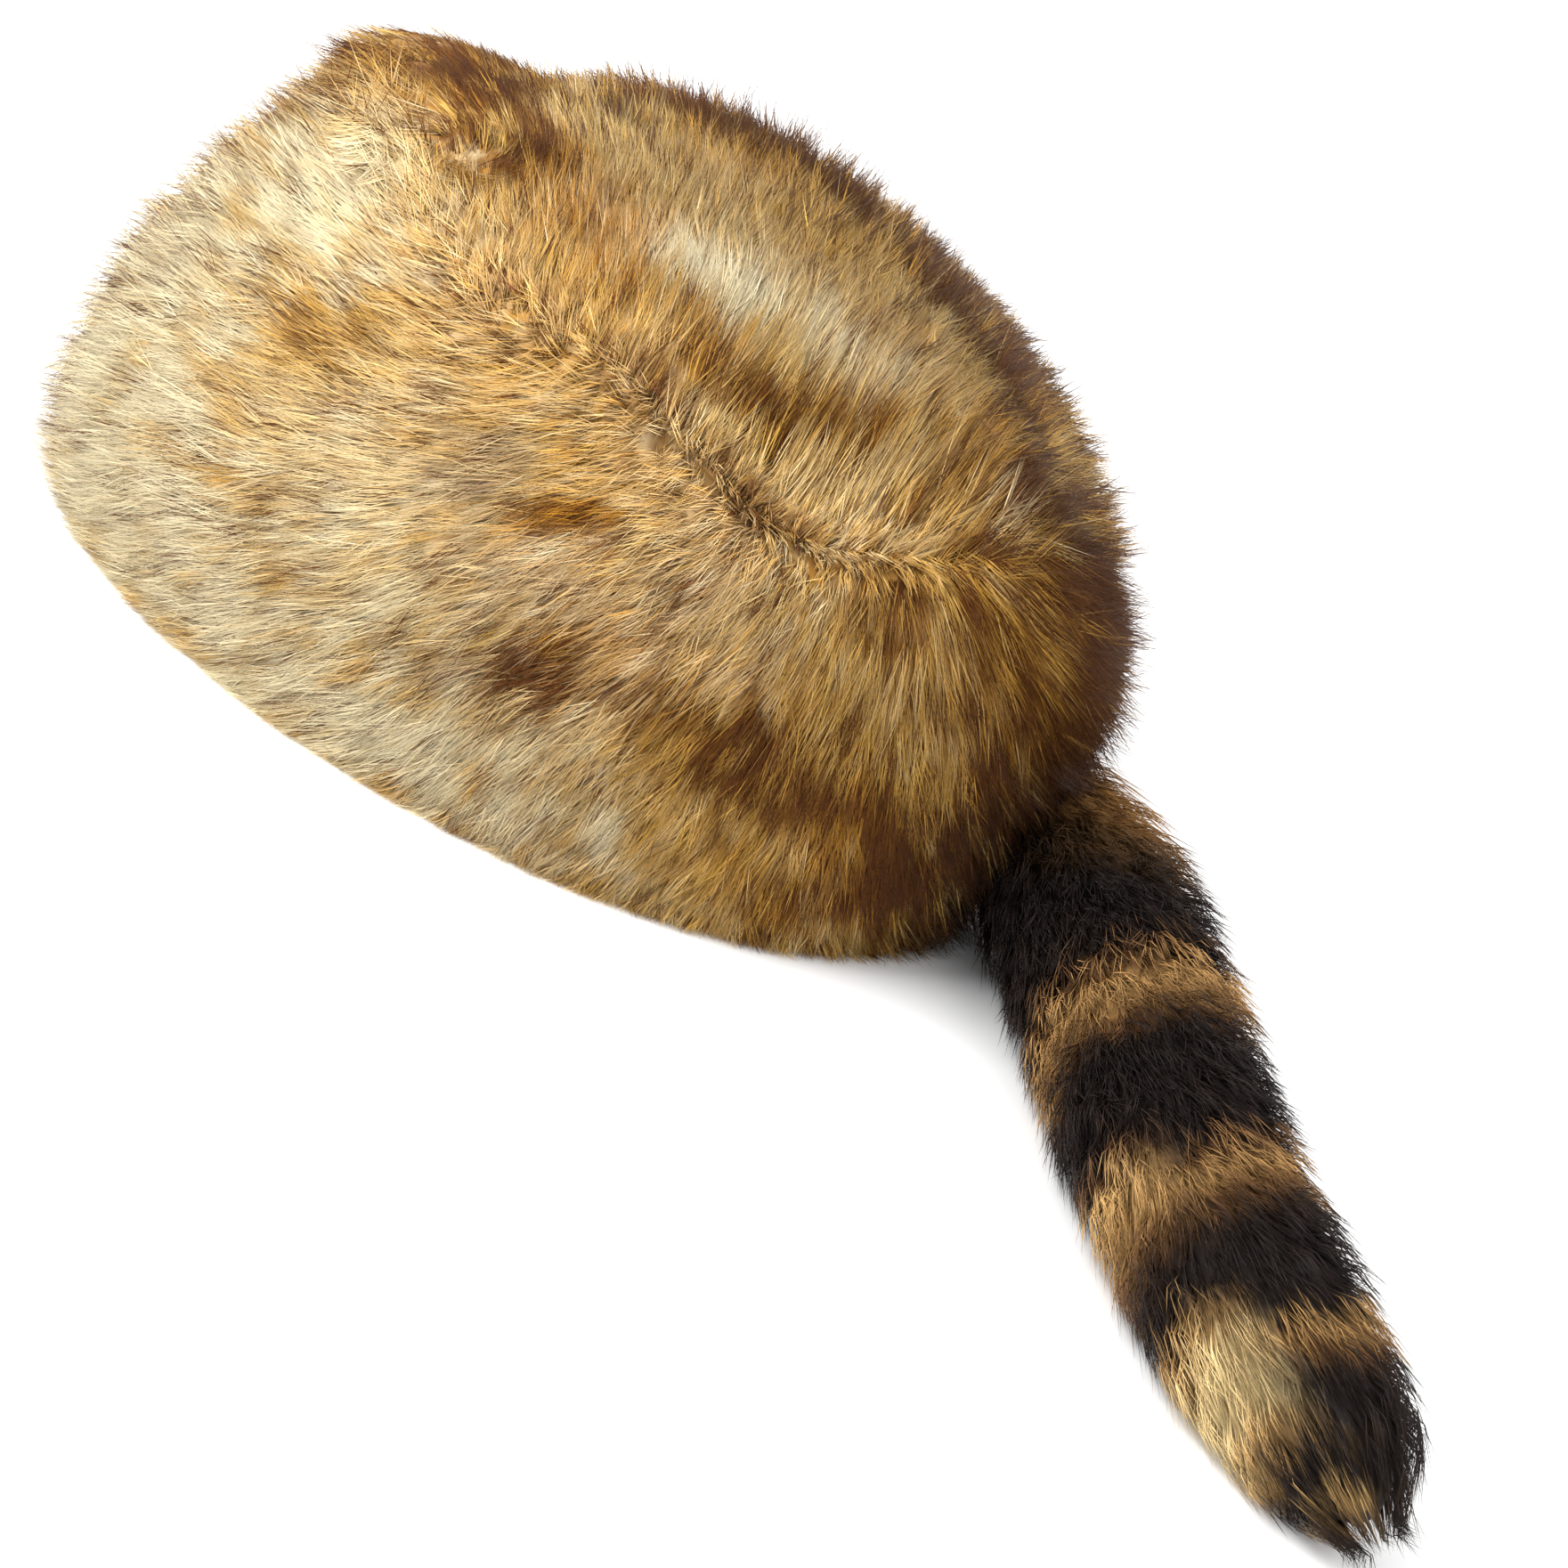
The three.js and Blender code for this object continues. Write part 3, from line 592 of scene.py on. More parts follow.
def crown_lie(turn, level, slide, lean, offset):
    """Places that fur on the crown reaches, straight in plan, and how far it goes on past the edge."""
    start = hide_point(turn, level)
    x = start[:, :1] + slide * np.sin(lean)[:, None] + offset[..., 0]
    y = start[:, 1:2] + slide * np.cos(lean)[:, None] + offset[..., 1]
    t = np.degrees(np.arctan2(-y / HEAD_WIDTH, -x / HEAD_LENGTH))
    edge = oval(t, np.ones_like(t))
    reach = np.hypot(x, y) / np.hypot(edge[..., 0], edge[..., 1])
    beyond = np.maximum(reach - EDGE_REACH, 0) * np.hypot(edge[..., 0], edge[..., 1])
    return t, 2 - np.minimum(reach, EDGE_REACH), beyond


# %% [markdown]
# ## One strand
#
# A strand is a closed three-sided needle. It has a ring of three points at its root, more rings
# where it must bend, and a point at its tip. Flat ribbons would be cheaper still, but they turn
# black or vanish where they are seen from behind.

# %% Strands from middle lines
def strand_mesh(lines, outward, widths):
    """Points and faces of closed needles along lines (n, k, 3). The last station of each is its tip."""
    n, k, _ = lines.shape
    along = unit(np.diff(lines, axis=1))
    across = unit(np.cross(along, outward[:, :-1]))
    out = np.cross(across, along)
    ring = []
    for corner in range(3):
        a = 2 * np.pi * corner / 3 + np.pi / 2
        ring.append(across * math.cos(a) + out * math.sin(a))
    ring = np.stack(ring, 2)
    stations = lines[:, :-1, None] + ring * (widths[:, :, None, None] / 2)
    points = np.concatenate([stations.reshape(n, -1, 3), lines[:, -1:]], 1)
    per = points.shape[1]
    faces = [(0, 1, 2)]
    for s in range(k - 2):
        for c in range(3):
            a, b = 3 * s + c, 3 * s + (c + 1) % 3
            faces += [(a, a + 3, b), (b, a + 3, b + 3)]
    for c in range(3):
        a, b = 3 * (k - 2) + c, 3 * (k - 2) + (c + 1) % 3
        faces.append((a, per - 1, b))
    faces = (np.array(faces)[None] + per * np.arange(n)[:, None, None]).reshape(-1, 3)
    return points.reshape(-1, 3), faces


def strand_cells(n, shares):
    """A map with one small cell for each strand: its sides run across the cell, its length up it."""
    across = math.ceil(math.sqrt(n))
    column, row = np.arange(n) % across, np.arange(n) // across
    u = np.tile(np.array([0.2, 0.5, 0.8]), len(shares) - 1)
    v = np.repeat(0.12 + 0.76 * np.asarray(shares[:-1]), 3)
    u, v = np.append(u, 0.5), np.append(v, 0.88)
    uv = np.stack([(column[:, None] + u) / across, (row[:, None] + v) / across], -1)
    return uv.reshape(-1, 2)


FLOOR_CLEARANCE = 0.4 * MM
# strands of like colour share a part of the map: the weight of dark in their order, against pale
DARK_FIRST = 0.6


def put_tone(piece, tone):
    """The lightness of each point's strand, from 0 to 1."""
    put_numbers(piece, "tone", np.stack([tone, tone, tone], -1))


def chance_tone(tufts, own, rng):
    """Lightness by chance, part of it shared by a tuft."""
    return 0.5 + 0.2 * rng.normal(size=tufts)[own] + 0.22 * rng.normal(size=len(own))


def fur_piece(name, node, material, lines, outward, widths, shares, coat, kind, tone):
    """A piece of many strands. Each point carries the strand's coat, kind, lightness and its place."""
    if coat.ndim == 2:
        coat = np.repeat(coat[:, None], len(shares), axis=1)
    order = np.argsort(coat[:, -1, 0] * DARK_FIRST - coat[:, -1, 1])
    lines, outward, widths, coat, kind, tone = (a[order] for a in (lines, outward, widths, coat, kind, tone))
    lines[..., 2] = np.maximum(lines[..., 2], FLOOR_CLEARANCE)
    points, faces = strand_mesh(lines, outward, widths)
    points[:, 2] = np.maximum(points[:, 2], FLOOR_CLEARANCE / 2)
    piece = new_piece(name, points, faces, node, material)
    n = len(lines)
    per = len(points) // n
    along = np.append(np.repeat(shares[:-1], 3), 1.0)
    coat = np.concatenate([np.repeat(coat[:, :-1], 3, axis=1), coat[:, -1:]], 1).reshape(-1, 4)
    put_numbers(piece, "coat", coat[:, :3])
    put_numbers(piece, "strand", np.stack([np.tile(along, n), np.repeat(kind, per), coat[:, 3]], -1))
    put_tone(piece, np.repeat(tone, per))
    put_map(piece, strand_cells(n, shares))
    print(name, n, "strands,", len(faces), "triangles")
    return piece


# %% [markdown]
# ## The fur's material
#
# Real guard hair is banded: a grey-brown base, a light middle and a dark or light tip. The
# cap's material mixes hair colours by the numbers that each strand carries, and the tail's reads
# its rings from two tables. A group holds what both share: a strand's own lightness, times a
# painted shade that darkens it towards the root.

# %% Colours
def linear(*srgb):
    """An sRGB colour in 0 to 255 as the linear numbers that shaders use."""
    c = np.array(srgb) / 255
    low, high = c / 12.92, ((c + 0.055) / 1.055) ** 2.4
    return (*np.where(c <= 0.04045, low, high), 1.0)


BASE = linear(204, 156, 70)
TAN = linear(232, 190, 98)
GOLD = linear(214, 152, 46)
CREAM = linear(244, 230, 192)
BROWN = linear(110, 60, 14)
TIP = linear(94, 50, 12)
GREY = linear(160, 138, 118)
DARK = linear(32, 22, 18)
SHADOW = linear(88, 62, 34)
UMBER = linear(158, 114, 62)
RUST = linear(110, 76, 44)
BUFF = linear(178, 138, 84)
BLOND = linear(206, 166, 106)
IVORY = linear(218, 192, 138)


def put_settings(node, settings):
    """Sets numbers on a node's own sockets."""
    for socket, value in settings.items():
        node.inputs[socket].default_value = value


class Wiring:
    """Short ways to add and join nodes in one tree."""

    def __init__(self, tree):
        self.nodes, self.links = tree.nodes, tree.links

    def numbers(self, name):
        """The three numbers of an attribute."""
        attribute = self.nodes.new("ShaderNodeAttribute")
        attribute.attribute_name = name
        parts = self.nodes.new("ShaderNodeSeparateXYZ")
        self.links.new(attribute.outputs["Vector"], parts.inputs[0])
        return parts.outputs

    def mix(self, first, second, share, blend="MIX"):
        node = self.nodes.new("ShaderNodeMix")
        node.data_type, node.blend_type, node.clamp_factor = "RGBA", blend, True
        self.links.new(first, node.inputs[6])
        self.links.new(second, node.inputs[7])
        if isinstance(share, float):
            node.inputs[0].default_value = share
        else:
            self.links.new(share, node.inputs[0])
        return node.outputs[2]

    def ease(self, value, low, high, start=0.0, end=1.0):
        node = self.nodes.new("ShaderNodeMapRange")
        node.interpolation_type = "SMOOTHSTEP"
        put_settings(node, {"From Min": low, "From Max": high, "To Min": start, "To Max": end})
        self.links.new(value, node.inputs["Value"])
        return node.outputs["Result"]

    def product(self, first, second):
        node = self.nodes.new("ShaderNodeMath")
        node.operation = "MULTIPLY"
        self.links.new(first, node.inputs[0])
        self.links.new(second, node.inputs[1])
        return node.outputs[0]


# painted shade: a root's share of the light of its tip and how far up the strand it reaches; the darkest and
# lightest strand
ROOT_PAINTED_SHADE = 0.6
PAINTED_SHADE_REACH = 0.8
TONES = (0.74, 1.2)


def make_shade_group():
    """Node group: how light a strand is at each point, from its own lightness and a painted shade at its
    root.
    """
    group = bpy.data.node_groups.new("strand_tone_and_painted_shade", "ShaderNodeTree")
    group.interface.new_socket("Shade", in_out="OUTPUT", socket_type="NodeSocketFloat")
    wire = Wiring(group)
    result = group.nodes.new("NodeGroupOutput")
    along, tone = wire.numbers("strand")[0], wire.numbers("tone")[0]
    # painted shade: each strand darkens towards its root, as the fur over it would shade it
    up = wire.ease(along, 0.0, PAINTED_SHADE_REACH, ROOT_PAINTED_SHADE, 1.0)
    shade = wire.product(up, wire.ease(tone, 0.0, 1.0, *TONES))
    group.links.new(shade, result.inputs["Shade"])
    return group


shade_group = make_shade_group()


def new_material(name):
    """A material with its wiring and its shader."""
    material = bpy.data.materials.new(name)
    material.use_nodes = True
    wire = Wiring(material.node_tree)
    return material, wire, wire.nodes["Principled BSDF"]


def hair_material(name, roughness):
    """A hair material with a soft gloss, its wiring, its shader and the strand's lightness with its painted
    root shade.
    """
    material, wire, shader = new_material(name)
    put_settings(shader, {"Roughness": roughness, "Specular IOR Level": 0.2})
    shade = wire.nodes.new("ShaderNodeGroup")
    shade.node_tree = shade_group
    return material, wire, shader, shade.outputs["Shade"]


def colour_node(wire, colour):
    node = wire.nodes.new("ShaderNodeRGB")
    node.outputs[0].default_value = colour
    return node.outputs[0]


# how far up a strand the base colour turns to tan, and where a dark tip starts and is full
TAN_FULL = 0.45
TIP_STARTS = (0.15, 0.5)


def cap_fur_material():
    """The cap's coat: tan mixed with gold, cream, grey and brown by the chart, and dark tips."""
    material, wire, shader, shade = hair_material("cap_fur", 0.55)
    along, kind, gold = wire.numbers("strand")
    dark, pale, grey = wire.numbers("coat")
    base, tan, golden, cream, cool, brown, tip = (
        colour_node(wire, c) for c in (BASE, TAN, GOLD, CREAM, GREY, BROWN, TIP))
    colour = wire.mix(base, tan, wire.ease(along, 0.0, TAN_FULL))
    for hair, share in ((golden, gold), (cream, pale), (cool, grey), (brown, dark)):
        colour = wire.mix(colour, hair, share)
    colour = wire.mix(colour, tip, wire.product(kind, wire.ease(along, *TIP_STARTS)))
    wire.links.new(wire.mix(colour, shade, 1.0, "MULTIPLY"), shader.inputs["Base Color"])
    return material


# distance along the tail as a share, and the colour there: on the left side, and over the top and right
LEFT_RINGS = (
    (0.00, UMBER), (0.05, SHADOW), (0.09, DARK), (0.385, DARK), (0.415, RUST), (0.43, BUFF), (0.455, BUFF),
    (0.475, RUST), (0.50, DARK), (0.605, DARK), (0.635, RUST), (0.66, BLOND), (0.70, BUFF), (0.72, RUST),
    (0.75, DARK), (0.78, DARK), (0.805, BUFF), (0.825, IVORY), (0.87, IVORY), (0.892, BUFF), (0.912, DARK),
    (0.93, DARK), (0.94, BLOND), (0.952, BUFF), (0.965, DARK), (1.00, DARK),
)
TOP_RINGS = (
    (0.00, UMBER), (0.15, UMBER), (0.175, SHADOW), (0.22, SHADOW), (0.26, DARK), (0.375, DARK), (0.405, RUST),
    (0.435, BUFF), (0.46, BUFF), (0.48, RUST), (0.505, DARK), (0.64, DARK), (0.66, RUST), (0.685, BUFF),
    (0.70, RUST), (0.73, DARK), (0.815, DARK), (0.83, BUFF), (0.845, RUST), (0.862, DARK), (1.00, DARK),
)


def ring_ramp(wire, place, rings):
    """Colour along the tail by a table of rings."""
    ramp = wire.nodes.new("ShaderNodeValToRGB")
    stops = ramp.color_ramp.elements
    while len(stops) < len(rings):
        stops.new(1.0)
    for stop, (position, colour) in zip(stops, rings):
        stop.position, stop.color = position, colour
    wire.links.new(place, ramp.inputs["Fac"])
    return ramp.outputs["Color"]


def tail_fur_material():
    """The tail's coat: two charts of rings, mixed by the side of the tail."""
    material, wire, shader, shade = hair_material("tail_fur", 0.5)
    place, left, _ = wire.numbers("coat")
    colour = wire.mix(ring_ramp(wire, place, TOP_RINGS), ring_ramp(wire, place, LEFT_RINGS), left)
    wire.links.new(wire.mix(colour, shade, 1.0, "MULTIPLY"), shader.inputs["Base Color"])
    return material


cap_fur = cap_fur_material()
tail_fur_finish = tail_fur_material()

# %% [markdown]
# ## The tail's line
#
# The tail is sewn to the back of the band and lies on the surface. Its middle line is a smooth
# curve through a short table. It is needed before the fur of the band, which keeps clear of it.

# %% The tail's line
TAIL_LENGTH = 286 * MM
TAIL_RADIUS = 26 * MM
TAIL_UNDERFUR = 19 * MM
TAIL_SEAT_HEIGHT = 30 * MM
TAIL_SEAT = HEAD_CENTRE + np.array([HEAD_LENGTH / 2 + HIDE, 6 * MM, 0])
TAIL_START = 20 * MM
# behind the seat and towards the near side, as shares of TAIL_LENGTH; lift and girth, of TAIL_RADIUS
TAIL_ROWS = np.array([
    (-0.04, 0.000, 1.15, 0.55),
    (0.02, 0.000, 1.13, 0.70),
    (0.075, 0.015, 1.06, 0.90),
    (0.13, 0.082, 0.98, 1.00),
    (0.168, 0.172, 0.95, 1.03),
    (0.203, 0.280, 0.95, 1.02),
    (0.268, 0.470, 0.92, 0.98),
    (0.352, 0.645, 0.87, 0.93),
    (0.421, 0.740, 0.72, 0.76),
    (0.464, 0.790, 0.52, 0.48),
    (0.49, 0.812, 0.40, 0.12),
])


def tail_rows():
    """The table's rows as points and radii, with the first two at the seat's height."""
    lift = TAIL_RADIUS * TAIL_ROWS[:, 2]
    lift[:2] = TAIL_SEAT_HEIGHT * TAIL_ROWS[:2, 2] / TAIL_ROWS[0, 2]
    points = TAIL_SEAT + np.stack([TAIL_LENGTH * TAIL_ROWS[:, 0], -TAIL_LENGTH * TAIL_ROWS[:, 1], lift], -1)
    return points, TAIL_RADIUS * TAIL_ROWS[:, 3]


def smooth_row(values, place):
    """Values at places from 0 to 1 along a list of rows, on cubic pieces with the rows' mean slopes."""
    last = len(values) - 1
    x = np.clip(place, 0, 1) * last
    i = np.clip(x.astype(int), 0, last - 1)
    s = (x - i)[..., None]
    a, b = values[np.maximum(i - 1, 0)], values[i]
    c, d = values[i + 1], values[np.minimum(i + 2, last)]
    return b + 0.5 * s * (c - a + s * (2 * a - 5 * b + 4 * c - d + s * (3 * (b - c) + d - a)))


tail_points, tail_radii = tail_rows()
fine_place = np.linspace(0, 1, 800)
fine_line = smooth_row(tail_points, fine_place)
fine_radius = smooth_row(tail_radii[:, None], fine_place)[:, 0]
fine_run = np.concatenate([[0], np.cumsum(np.linalg.norm(np.diff(fine_line, axis=0), axis=1))])
TAIL_RUN = fine_run[-1]
fine_along = unit(np.gradient(fine_line, axis=0))
fine_side = unit(np.cross(fine_along, UP))
fine_up = np.cross(fine_side, fine_along)
print("tail along its middle", round(TAIL_RUN / MM), "mm")


def tail_place(run, angle, radius_share):
    """Points round the tail: run is along it, angle goes from its left side by way of the top."""
    run, angle, radius_share = np.broadcast_arrays(run, angle, radius_share)
    flat = run.ravel()
    pick = [np.stack([np.interp(flat, fine_run, field[:, k]) for k in range(3)], -1).reshape(run.shape + (3,))
            for field in (fine_line, fine_side, fine_up)]
    radius = np.interp(flat, fine_run, fine_radius).reshape(run.shape)
    out = pick[1] * np.cos(angle)[..., None] + pick[2] * np.sin(angle)[..., None]
    return pick[0] + out * (radius * radius_share)[..., None], out


NEAR_SEAT = 90 * MM


def inside_tail(points, room):
    """Which points lie within the tail's core, let out by some room, near its seat."""
    near = fine_run < NEAR_SEAT
    line, radius = fine_line[near][::6], fine_radius[near][::6] * TAIL_UNDERFUR / TAIL_RADIUS
    flat = points.reshape(-1, 3)
    inside = np.zeros(len(flat), bool)
    for centre, r in zip(line, radius):
        inside |= np.linalg.norm(flat - centre, axis=-1) < r + room
    return inside.reshape(points.shape[:-1])


# %% [markdown]
# ## Fur on the band and the crown
#
# Two layers make a coat. The undercoat is short and thick on the ground, and gives the colour. The
# guard hair over it is longer and thinner, with dark tips, and stands out at the edges. Strands
# grow in tufts whose tips draw together, which gives fur its fine points. A strand takes its
# colour from the chart where its outer half lies, because that is the part that shows.

# %% Coats
WOOL_DEPTH = 12 * MM
ROOT_DEPTH = 11 * MM
STRAIGHT = np.array([0.0, 1.0])
BENT = np.array([0.0, 0.55, 1.0])
SHOWN = 0.7

# strands in a tuft; in mm the length, the tip's depth from and to, the width and the spread of a tuft
UNDERCOAT = dict(per_tuft=6, length=12, tips=(14.5, 17.0), width=0.33, spread=0.9, stray=0.16, tip_dark=0.2)
GUARD = dict(per_tuft=4, length=14, tips=(16.0, 19.5), width=0.46, spread=0.6, stray=0.2, tip_dark=1.0)
BAND_LEVELS = (0, 1.04)
CROWN_LEVELS = (0.97, 2)
# name, kind, node, turns, levels, strands
COATS = [
    ("band_undercoat_left_front", UNDERCOAT, "side_band", (-2, 92), BAND_LEVELS, 33000),
    ("band_undercoat_left_back", UNDERCOAT, "side_band", (92, 186), BAND_LEVELS, 33000),
    ("band_undercoat_right", UNDERCOAT, "side_band", (186, 358), BAND_LEVELS, 30000),
    ("crown_undercoat", UNDERCOAT, "crown_panel", (0, 360), CROWN_LEVELS, 38000),
    ("band_guard_hair_left", GUARD, "side_band", (-6, 180), BAND_LEVELS, 20000),
    ("band_guard_hair_right", GUARD, "side_band", (180, 354), BAND_LEVELS, 9000),
    ("crown_guard_hair", GUARD, "crown_panel", (0, 360), CROWN_LEVELS, 12000),
]
# the dark rim: middle and width in degrees of turn at the back, levels between which it ends there,
# and how far under the far crest it lies, with its width
BACK_RIM = (171, 11)
RIM_ENDS = (1.05, 1.25)
CREST_RIM = (0.04, 0.075)


def rim_at(turn, level):
    """1 on the dark rim of the coat: down the back of the band and along the far crest of the crown."""
    back = bell(turn, *BACK_RIM) * (1 - ease(level, *RIM_ENDS))
    return np.maximum(back, crest_at(turn, level + CREST_RIM[0], CREST_RIM[1]))


# sums of causes between which hair turns dark, and its tip; where the front has dark tips
DARK_FROM_TO = (0.15, 1.25)
TIPPED_FROM_TO = (0.35, 1.0)
TIPPED_FRONT = (32, 9)
# the usual pale and gold shares of a strand
SOME_PALE = 0.24
SOME_GOLD = 0.35


def coat_values(turn, level, tuft_tone, rng, tip_dark):
    """Coat and dark tip of each strand: the chart, waves of tufts, and the strand's own chance."""
    n = len(turn)
    shares = coat_at(turn, level)
    place = hide_point(turn, level)
    tuft, slow = ripple(place, 4 * MM, 51), ripple(place, 40 * MM, 53)
    rim = rim_at(turn, level)
    causes = shares[:, 0] + 0.7 * rim + 0.42 * tuft_tone + 0.12 * tuft + 0.06 * slow
    dark = 0.9 * ease(causes, *DARK_FROM_TO) + 0.16 * rng.normal(size=n)
    brown = np.clip(shares[:, 0], 0, 1)
    pale = shares[:, 1] - 0.4 * brown + SOME_PALE - 0.14 * tuft + 0.10 * slow + 0.16 * rng.normal(size=n)
    grey = shares[:, 2] * (0.8 + 0.4 * tuft) + 0.06 * rng.normal(size=n)
    gold = SOME_GOLD + shares[:, 3] + 0.35 * brown + 0.15 * ripple(place, 30 * MM, 54)
    gold = gold + 0.2 * rng.normal(size=n)
    front = bell(np.mod(turn + 30, 360), *TIPPED_FRONT)
    causes = tuft_tone + 0.9 * shares[:, 0] - 0.25 * shares[:, 1] + 0.8 * front + 1.4 * rim
    kind = tip_dark * ease(causes, *TIPPED_FROM_TO)
    return np.clip(np.stack([dark, pale, grey, gold], -1), 0, 1), np.clip(kind, 0, 1)


# nearness between which hair turns round the swirl, and lies plain again in its middle; its outward lean
SWIRL_TURNS = (0.15, 0.5)
SWIRL_MIDDLE = (0.78, 0.95)
SWIRL_OUT = 0.2
# share of its length that hair loses, and mm by which tips stand higher; how much finer a fringe is
PARTING_SHORTER = 0.58
SWIRL_SHORTER = 0.45
PARTING_LIFT = 2.5
FRINGE_LIFT = 9.0
FRINGE_FINER = 0.4
# places along the crown's front half between which its fur flattens, and by how much
FLAT_FRONT = (0.35, 0.8)
FLATTER = 0.7
# how much the points of a tuft draw together
TUFT_DRAWS = 0.65


def crown_lean(turn, level, whorl, away):
    """Heading of the crown's fur: by the chart, turned round the swirl where that is near."""
    lean = np.radians(np.interp(hide_point(turn, level)[:, 0] / (HEAD_LENGTH / 2), *HEADING_ROWS.T))
    x, y = away[:, 0], away[:, 1]
    round_it = np.arctan2(SWIRL_OUT * x - y, SWIRL_OUT * y + x)
    turned = ease(whorl, *SWIRL_TURNS) * (1 - ease(whorl, *SWIRL_MIDDLE))
    return lean + turned * (np.mod(round_it - lean + np.pi, 2 * np.pi) - np.pi)


def grow(name, node, turns, levels, strands, per_tuft, length, tips, width, spread, stray, tip_dark, seed):
    """A fur piece: tufts scattered over a part of the hide, each of per_tuft strands."""
    rng = dice(seed)
    on_band = node == "side_band"
    tufts = strands // per_tuft
    t, l = scatter(tufts, turns, levels, rng)
    whorl, away = swirl_at(t, l)
    lean = lean_at(t, l) if on_band else crown_lean(t, l, whorl, away)
    up = parting_at(t, l)
    lean = lean + 0.12 * ripple(hide_point(t, l), 22 * MM, 7) + (stray + 0.3 * up) * rng.normal(size=tufts)
    own = np.repeat(np.arange(tufts), per_tuft)
    own = own[~inside_tail(point_over(t, l, np.full(tufts, WOOL_DEPTH)), 2 * MM)[own]]
    n = len(own)
    offset = rng.normal(size=(n, 1, 2)) * spread * MM * (1 - TUFT_DRAWS * STRAIGHT)[None, :, None]
    lean = lean[own] + stray * 0.6 * rng.normal(size=n)
    tall = rng.random(tufts)[own] * 0.6 + rng.random(n) * 0.4
    long = length * MM * (0.75 + 0.35 * rng.random(tufts))[own] * rng.uniform(0.85, 1.1, n)
    long = long * (1 - PARTING_SHORTER * up[own]) * (1 - SWIRL_SHORTER * whorl[own])
    fringe = fringe_at(t, l)[own] * tip_dark * rng.random(n) ** 1.1
    lift = (PARTING_LIFT * up[own] + FRINGE_LIFT * fringe) * MM
    tip_depth = (tips[0] + (tips[1] - tips[0]) * tall) * MM + lift
    if not on_band:
        front = ease(-hide_point(t, l)[own, 0] / (HEAD_LENGTH / 2), *FLAT_FRONT)
        tip_depth = tip_depth - FLATTER * (tip_depth - WOOL_DEPTH) * front
    lie = band_lie if on_band else crown_lie
    at_t, at_l, beyond = lie(t[own], l[own], long[:, None] * STRAIGHT, lean, offset)
    root_depth = ROOT_DEPTH + 0.4 * MM * rng.normal(size=n)
    depth = root_depth[:, None] + (tip_depth - root_depth)[:, None] * STRAIGHT
    outward = hide_normal(at_t, at_l)
    flat_out = unit(outward * np.array([1, 1, 0]) + 1e-9)
    lines = point_over(at_t, at_l, depth) + beyond[..., None] * flat_out
    wide = (width * MM * rng.uniform(0.7, 1.3, n) * (1 - FRINGE_FINER * fringe))[:, None]
    shown_t = at_t[:, 0] + SHOWN * (at_t[:, 1] - at_t[:, 0]) if on_band else at_t[:, 1]
    shown_l = at_l[:, 0] + SHOWN * (at_l[:, 1] - at_l[:, 0])
    coat, kind = coat_values(shown_t, shown_l, rng.normal(size=tufts)[own], rng, tip_dark)
    tone = chance_tone(tufts, own, rng) - 0.5 * rim_at(shown_t, shown_l)
    tone = tone + 0.22 * coat[:, 1] - 0.1 * coat[:, 0]
    slot, tone = "band_fur" if on_band else "crown_fur", np.clip(tone, 0, 1)
    return fur_piece(name, node, cap_fur, lines, outward, wide, STRAIGHT, coat, kind, tone)


for number, (name, kind_of_hair, node, turns, levels, strands) in enumerate(COATS):
    grow(name, node, turns, levels, strands, **kind_of_hair, seed=101 + 10 * number)

# %% [markdown]
# ## Hide and underfur
#
# Under the strands lies the dense wool, and under that the hide, whose inner face lines the cap.
# Both are closed walls over the same surface, so nothing shows through from any side.

# %% Walls
# vertices nearer to each other than this are one point, and a face between them is left out
SAME_POINT = 1e-9
# depth of the band's wool where the tail's own takes its place
UNDER_TAIL = 0.6 * MM


def close_wall(name, node, material, levels, inner, outer, sides, to_top, rough=0.0, seat=False):
    """A closed wall between two depths over the hide. It ends at its last level, or closes on top."""
    turns = np.arange(sides) * 360 / sides
    t, l = np.meshgrid(turns, levels, indexing="xy")
    bump = rough * (ripple(hide_point(t, l), 7 * MM, 61) + 0.5 * ripple(hide_point(t, l), 3 * MM, 62))
    depth = outer + bump
    if seat:
        depth = np.where(inside_tail(point_over(t, l, depth), 1 * MM), UNDER_TAIL, depth)
    outside = point_over(t, l, depth)
    inside = point_over(t[::-1], l[::-1], np.full(t.shape, inner))
    rows = np.concatenate([outside, inside])
    level_rows = np.concatenate([l, l[::-1]])
    turn_rows = np.concatenate([t, t[::-1]])
    faces = grid_faces(len(rows), sides, True, flip=True)
    if to_top:
        gap = (np.arange(len(rows)) == len(levels) - 1)
        faces = faces[~np.repeat(gap, sides)]
    points = rows.reshape(-1, 3)
    if to_top:
        points, faces = cap_poles(points, faces, sides, len(levels), outer, inner)
    triangles = split_quads(faces)
    corners = points[triangles]
    wide = np.linalg.norm(corners[:, 1] - corners[:, 2], axis=-1) > SAME_POINT
    sized = np.linalg.norm(corners[:, 0] - corners[:, 2], axis=-1) > SAME_POINT
    points[:, 2] = np.maximum(points[:, 2], 0.0)
    piece = new_piece(name, points, triangles[wide & sized], node, material)
    return piece, turn_rows, level_rows


def cap_poles(points, faces, sides, rows, outer, inner):
    """Adds the middle of the crown outside and inside, and the two fans of faces that close it."""
    top, under = point_over(0.0, 2.0, outer), point_over(0.0, 2.0, inner)
    n = len(points)
    j = np.arange(sides)
    beside = (j + 1) % sides
    ring, ring_in = (rows - 1) * sides, rows * sides
    over = np.stack([ring + beside, ring + j, np.full(sides, n), np.full(sides, n)], -1)
    below = np.stack([ring_in + j, ring_in + beside, np.full(sides, n + 1), np.full(sides, n + 1)], -1)
    return np.concatenate([points, [top, under]]), np.concatenate([faces, over, below])


